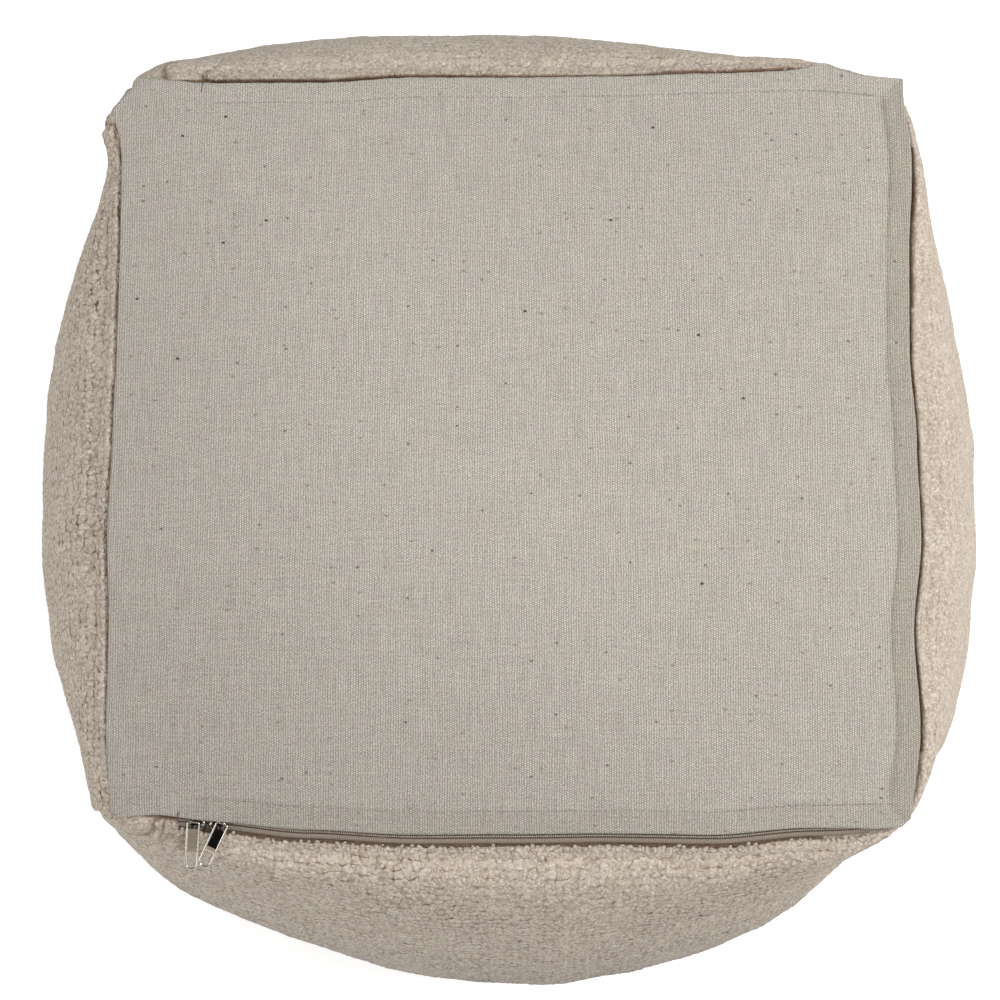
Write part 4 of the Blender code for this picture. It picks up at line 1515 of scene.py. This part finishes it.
def tape_band(tape):
    """The woven tape: a thin band, flat under the canvas and sloping down to the boucle."""
    rows, painted_gap_shade = [], []
    for index, t in zip_route(ZIP_START_T - 0.01, TAPE_STEP):
        # Painted shade for the tape on the right and far sides, in the gap under the cover's edge
        painted_gap_shade.append(np.full_like(t, float(index != NEAR)))
        back, bend, front = (tape_place(row, t) for row in (TAPE_BACK, TAPE_BEND, TAPE_FRONT))
        thick = np.array((0.0, TAPE_T / MM))
        section = [back, lerp(back, bend, 0.5), lerp(back, bend, 0.9), lerp(bend, front, 0.12)]
        section += [lerp(bend, front, share) for share in (0.35, 0.6, 0.8, 1.0)]
        section += [front - thick * 0.5, front - thick, bend - thick, back - thick, back]
        rows.append(np.stack([channel_at(index, t, place) for place in section], axis=1))
    points = np.concatenate(rows)
    count, across = points.shape[0] - 1, points.shape[1] - 1
    mesh, order = grid_piece("tape_band", across, count)
    set_places(mesh, order, points)
    lengths, widths = lengths_along(points[:, TAPE_MIDDLE]), lengths_along(points[count // 6])
    along, over = np.meshgrid(lengths, widths, indexing="ij")
    set_cloth_map(mesh, order, along, over)
    set_amount(mesh, order, "painted_gap_shade", np.broadcast_to(np.concatenate(painted_gap_shade)[:, None], along.shape))
    bm = bmesh.new()
    bm.from_mesh(mesh)
    bmesh.ops.remove_doubles(bm, verts=bm.verts, dist=0.01 * MM)
    bmesh.ops.holes_fill(bm, edges=[edge for edge in bm.edges if edge.is_boundary])
    bmesh.ops.recalc_face_normals(bm, faces=bm.faces)
    bm.to_mesh(mesh)
    bm.free()
    piece = finished("tape_band", mesh, tape)
    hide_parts("zip_tape")


TOOTH_PITCH = 1.05 * MM
TOOTH_R = 0.24 * MM
# A tooth's course in mm, out from the coil's middle and up off the tape
TOOTH_COURSE = ((1.45, 0.05), (1.334, 0.70), (0.986, 0.80), (0.60, 0.05))


def tooth():
    """One turn of the coil on one side: a bent bar from the outer edge in to the middle."""
    bm = bmesh.new()
    rings = []
    for across, lift in TOOTH_COURSE:
        made = bmesh.ops.create_circle(bm, cap_ends=False, segments=4, radius=TOOTH_R,
                                       matrix=Matrix.Translation((0, across * MM, lift * MM))
                                       @ Matrix.Rotation(math.pi / 2, 4, "X"))
        rings.append([edge for vert in made["verts"] for edge in vert.link_edges])
    for low, high in zip(rings, rings[1:]):
        bmesh.ops.bridge_loops(bm, edges=list(dict.fromkeys(low + high)))
    bmesh.ops.holes_fill(bm, edges=[edge for edge in bm.edges if edge.is_boundary])
    bmesh.ops.recalc_face_normals(bm, faces=bm.faces)
    return bm


def coil_teeth(coil):
    """The closed coil: two rows of turns that meet along the middle of the tape."""
    start = SLIDER_SHARES[-1] * 2.0 - 1.0 + SLIDER.x / SEAT_HALF * 0.9
    places = []
    for index, t in zip_route(start, 0.25 * MM):
        bend, front = tape_place(TAPE_BEND, t), tape_place(TAPE_FRONT, t)
        run = front - bend
        run /= np.linalg.norm(run, axis=-1, keepdims=True)
        square = np.stack((-run[:, 1], run[:, 0]), axis=-1)
        middle = lerp(bend, front, COIL_SHARE) + square * 0.1
        line = channel_at(index, t, middle)
        off = outward(index, t) * square[:, :1]
        off[:, 2] = square[:, 1]
        lengths = lengths_along(line)
        spots = np.arange(0.0, lengths[-1], TOOTH_PITCH / 2)
        here = points_along(line, lengths, spots)
        ahead = points_along(line, lengths, spots + 0.5 * MM)
        lifts = points_along(off, lengths, spots)
        shrink = 1.0 - 0.6 * np.interp(spots, lengths, np.abs(t) ** CORNER_BLEND)
        for number in range(len(spots) - 2):
            place = frame_at(here[number], ahead[number] - here[number], lifts[number])
            size = np.diag((1.0, shrink[number], shrink[number], 1.0))
            if number % 2:
                size[1, 1] *= -1.0
                size[0, 0] *= -1.0
            places.append(place @ size)
    mesh = joined_copies("coil_teeth", tooth(), places)
    piece = finished("coil_teeth", mesh, coil)
    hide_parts("zip_coil")


def slider_matrix(share):
    """World matrix of a slider: X along the zip, Y down the tape, Z off the tape."""
    t = np.array(share * 2.0 - 1.0)
    bend, front = tape_place(TAPE_BEND, t), tape_place(TAPE_FRONT, t)
    run = (front - bend) / np.linalg.norm(front - bend)
    near = np.array((t - 0.02, t + 0.02))
    ends = rim_at(NEAR, near)
    along = Vector(ends[1] - ends[0]).normalized()
    down = (Vector(SIDES[NEAR].out) * run[0] + Vector((0, 0, run[1]))).normalized()
    off = down.cross(along)
    if off.z < 0:
        off = -off
    place = Matrix((along, off.cross(along), off)).transposed().to_4x4()
    middle = channel_at(NEAR, t, lerp(bend, front, SLIDER_SHARE))
    place.translation = Vector(middle) + off * (GAP + SLIDER.z / 2)
    return place


def block(bm, size, place, rounding):
    """A box with rounded edges, added to a bmesh."""
    made = bmesh.ops.create_cube(bm, size=1.0, matrix=Matrix.Translation(place)
                                 @ Matrix.Diagonal((*size, 1.0)))
    edges = list({edge for vert in made["verts"] for edge in vert.link_edges})
    bmesh.ops.bevel(bm, geom=edges, offset=rounding, affect="EDGES", segments=2, profile=0.5,
                    material=-1)


def slider_body(number, plating):
    """A slider: a domed top on a flanged plate, joined by a post, and a bridge for the pull."""
    bm = bmesh.new()
    length, width, thick = SLIDER
    block(bm, (length, width, 0.8 * MM), (0, 0, -thick / 2 + 0.4 * MM), 0.35 * MM)
    bmesh.ops.create_uvsphere(bm, u_segments=24, v_segments=12, radius=1.0,
                              matrix=Matrix.Translation((0, 0, thick / 2 - 1.0 * MM))
                              @ Matrix.Diagonal((length * 0.56, width * 0.60, 2.2 * MM, 1.0)))
    block(bm, (2.0 * MM, 1.6 * MM, thick * 0.8), (length * 0.28, 0, 0), 0.3 * MM)
    for way in (-1, 1):
        block(bm, (length * 0.9, 0.7 * MM, 1.1 * MM), (0, way * (width / 2 - 0.4 * MM), -0.5 * MM),
              0.25 * MM)
    shift = LUG_SHIFTS[number - 1]
    start = Matrix.Translation((shift - 2.1 * MM, 0, thick / 2 - 0.3 * MM))
    strap = bmesh.ops.create_grid(bm, x_segments=1, y_segments=2, size=0.5,
                                  matrix=start @ Matrix.Diagonal((0.9 * MM, 2.0 * MM, 1.0, 1.0)))
    faces = list({face for vert in strap["verts"] for face in vert.link_faces})
    bmesh.ops.spin(bm, geom=faces, cent=(shift, 0, thick / 2 - 0.3 * MM), axis=(0, 1, 0),
                   angle=math.pi, steps=10, use_merge=False)
    bmesh.ops.transform(bm, matrix=slider_matrix(SLIDER_SHARES[number - 1]), verts=bm.verts)
    piece = from_bmesh(f"slider_{number}_body", bm, plating)
    piece.data.set_sharp_from_angle(angle=math.radians(50))
    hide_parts(f"slider_{number}")


def pull_matrix(number):
    """World matrix of a pull: Y down its length from its slider, Z off its face."""
    share = SLIDER_SHARES[number - 1]
    dip = math.radians(PULL_DIP)
    lay = Matrix((Vector((-1, 0, 0)), Vector((0, -math.cos(dip), -math.sin(dip))),
                  Vector((0, -math.sin(dip), math.cos(dip))))).transposed().to_4x4()
    slide = slider_matrix(share)
    height = SLIDER.z / 2 + PULL_LIFT + PULL_T / 2
    lift = slide.to_3x3() @ Vector((LUG_SHIFTS[number - 1], 0, height))
    eye_middle = Vector((0, PULL_RIM + PULL_EYE / 2, 0))
    spin = Matrix.Rotation(math.radians(PULL_TURNS[number - 1]), 4, "Z")
    return Matrix.Translation(slide.translation + lift) @ lay @ spin @ Matrix.Translation(-eye_middle)


def pull_outline(inset, near_radius, steps):
    """A pull's outline along Y: two small corners at its slider and a round far end."""
    half = PULL_W / 2 - inset
    radius = near_radius - inset
    centres = ((0.0, PULL_L - PULL_W / 2, half, 0.0, math.pi),
               (inset + radius - PULL_W / 2, near_radius, radius, math.pi, math.pi / 2),
               (PULL_W / 2 - inset - radius, near_radius, radius, math.pi * 1.5, math.pi / 2))
    points = []
    for x, y, reach, first, turn in centres:
        for step in range(steps + 1):
            angle = first + turn * step / steps
            points.append((x + reach * math.cos(angle), y + reach * math.sin(angle), 0.0))
    return points


def wire_along(name, points, radius):
    """A round wire along a closed outline, as a bmesh."""
    curve = bpy.data.curves.new(name, "CURVE")
    curve.dimensions = "3D"
    curve.fill_mode = "FULL"
    curve.bevel_depth = radius
    curve.bevel_resolution = 2
    spline = curve.splines.new("POLY")
    spline.points.add(len(points) - 1)
    for point, place in zip(spline.points, points):
        point.co = (*place, 1.0)
    spline.use_cyclic_u = True
    holder = bpy.data.objects.new(name, curve)
    bpy.context.scene.collection.objects.link(holder)
    bpy.context.view_layer.update()
    drawn = holder.evaluated_get(bpy.context.evaluated_depsgraph_get())
    mesh = bpy.data.meshes.new_from_object(drawn)
    bpy.data.objects.remove(holder)
    bm = bmesh.new()
    bm.from_mesh(mesh)
    bmesh.ops.remove_doubles(bm, verts=bm.verts, dist=0.005 * MM)
    return bm


RIM_WIRE = 0.50 * MM        # half as thick as the wire is
RIM_CORNER = 1.4 * MM
PLATE_T = 0.55 * MM
LIP_L = 2.4 * MM
LIP_RISE = 1.7 * MM


def curled_plate(top, bottom, curled):
    """A plate between two places along Y, flat or curled up towards its lower end."""
    bm = bmesh.new()
    bmesh.ops.create_grid(bm, x_segments=2, y_segments=16, size=0.5)
    for vert in bm.verts:
        y = lerp(top, bottom, vert.co.y + 0.5)
        curl = curled * (1.0 - (bottom - y) / LIP_L)
        vert.co = (vert.co.x * (PULL_W - 2.0 * RIM_WIRE), y, LIP_RISE * curl ** 2 - PLATE_T / 2)
    bmesh.ops.solidify(bm, geom=bm.faces[:], thickness=PLATE_T)
    return bm


def pull_pieces(number, bright, plated, lip):
    """A pull: a bright wire rim round a plate whose lower lip curls up over the open window."""
    place = pull_matrix(number)
    wire = wire_along(f"pull_{number}_rim", pull_outline(RIM_WIRE, RIM_CORNER, 8), RIM_WIRE)
    bmesh.ops.transform(wire, matrix=place, verts=wire.verts)
    rim = from_bmesh(f"pull_{number}_rim", wire, bright)
    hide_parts(f"pull_{number}")
    top, bottom = PULL_RIM + PULL_EYE, PULL_L - PULL_WINDOW - PULL_RIM
    bend = bottom - LIP_L
    for name, material, first, last in (("plate", plated, top, bend), ("lip", lip, bend, bottom)):
        plate = curled_plate(first, last, name == "lip")
        bmesh.ops.transform(plate, matrix=place, verts=plate.verts)
        sheet = from_bmesh(f"pull_{number}_{name}", plate, material)
        sheet.data.set_sharp_from_angle(angle=math.radians(40))


# ---------------------------------------------------------------- studio

CAMERA_TILT = 10.0          # degrees from straight down, towards the near side
CAMERA_AWAY = 1.90
CAMERA_AIM = (-0.007, 0.005, 0.20)
CAMERA_LENS = 106.8
WORLD_LIGHT = 0.36
FLOOR_GLOW = 0.42           # keeps the floor white round the pouf


def studio_camera():
    """The camera at the photo's angle, almost straight above."""
    camera = bpy.data.cameras.new("camera")
    camera.lens = CAMERA_LENS
    camera.sensor_width = 36.0
    camera.clip_start = 0.05
    holder = bpy.data.objects.new("camera", camera)
    bpy.context.scene.collection.objects.link(holder)
    tilt = math.radians(CAMERA_TILT)
    back = Vector((0.0, -math.sin(tilt), math.cos(tilt)))
    holder.location = Vector(CAMERA_AIM) + Vector(SHIFT) + back * CAMERA_AWAY
    holder.rotation_euler = (tilt, 0.0, 0.0)
    bpy.context.scene.camera = holder


def studio_floor():
    """A plain white floor."""
    bm = bmesh.new()
    bmesh.ops.create_grid(bm, x_segments=1, y_segments=1, size=20.0)
    mesh = bpy.data.meshes.new("floor")
    bm.to_mesh(mesh)
    bm.free()
    material, _, shader = new_material("floor")
    set_finish(shader, Base_Color=(0.86, 0.86, 0.86, 1.0), Roughness=0.9,
               Emission_Color=(1.0, 1.0, 1.0, 1.0), Emission_Strength=FLOOR_GLOW)
    mesh.materials.append(material)
    floor = bpy.data.objects.new("floor", mesh)
    bpy.context.scene.collection.objects.link(floor)


def soft_light(name, place, aim, size, power, colour):
    """A round soft light that points at a place."""
    light = bpy.data.lights.new(name, "AREA")
    light.shape = "DISK"
    light.size = size
    light.energy = power
    light.color = colour
    holder = bpy.data.objects.new(name, light)
    bpy.context.scene.collection.objects.link(holder)
    holder.location = place
    holder.rotation_euler = (Vector(aim) - Vector(place)).to_track_quat("-Z", "Y").to_euler()
    return holder


def studio_world():
    """A soft even studio; bright metal sees it darker overhead, as in a room with side lights."""
    world = bpy.data.worlds.new("studio")
    world.use_nodes = True
    tree = world.node_tree
    soft = tree.nodes["Background"]
    soft.inputs["Color"].default_value = (0.96, 0.98, 1.0, 1.0)
    soft.inputs["Strength"].default_value = WORLD_LIGHT
    way = node(tree, "ShaderNodeTexCoord").outputs["Generated"]
    height = axis(tree, way, "Z").between(0.35, 0.75, 1.0, 0.03)
    across = axis(tree, way, "X").between(-0.60, 0.50, 0.9, 2.2)
    across = across * axis(tree, way, "Y").between(-0.75, -0.20, 0.10, 1.0)
    seen = node(tree, "ShaderNodeBackground", Color=(1.0, 0.98, 0.95, 1.0),
                Strength=(height * across).socket)
    chosen = node(tree, "ShaderNodeMixShader",
                  in_0=node(tree, "ShaderNodeLightPath").outputs["Is Glossy Ray"],
                  in_1=soft.outputs[0], in_2=seen.outputs[0])
    tree.links.new(chosen.outputs[0], tree.nodes["World Output"].inputs["Surface"])
    bpy.context.scene.world = world


def studio_lights():
    """A key light on the right and fainter ones all round."""
    middle = (0.0, 0.0, 0.3)
    soft_light("key", (1.88, 0.22, 1.78), middle, 1.1, 34.0, (1.0, 0.985, 0.96))
    soft_light("side", (-1.8, -0.4, 1.1), middle, 1.4, 10.0, (1.0, 0.99, 0.98))
    soft_light("front", (0.9, -1.7, 1.6), middle, 1.2, 3.5, (1.0, 0.99, 0.975))
    over = soft_light("over", (0.0, -0.25, 2.8), middle, 2.0, 34.0, (1.0, 1.0, 1.0))
    over.visible_glossy = False
    bpy.context.scene.view_settings.view_transform = "Standard"
    bpy.context.scene.view_settings.look = "None"


def main():
    boucle = boucle_material()
    nickel, dark_painted_nickel, warm_painted_nickel = nickel_material(), dark_painted_nickel_material(), warm_painted_nickel_material()
    studio_camera()
    for index in range(4):
        side_panel(index, boucle)
    seat_panel(boucle)
    standing_loops(loose_yarn_material())
    canvas_base(canvas_material())
    hem_stitches(thread_material())
    tape_band(tape_material())
    coil_teeth(coil_material())
    # Painted reflections: the same pulls get a brown plate on the first and a dark one on the second,
    # with brown lips
    for number in (1, 2):
        slider_body(number, dark_painted_nickel)
        pull_pieces(number, nickel, warm_painted_nickel if number == 1 else dark_painted_nickel, warm_painted_nickel)
    studio_floor()
    studio_world()
    studio_lights()


main()
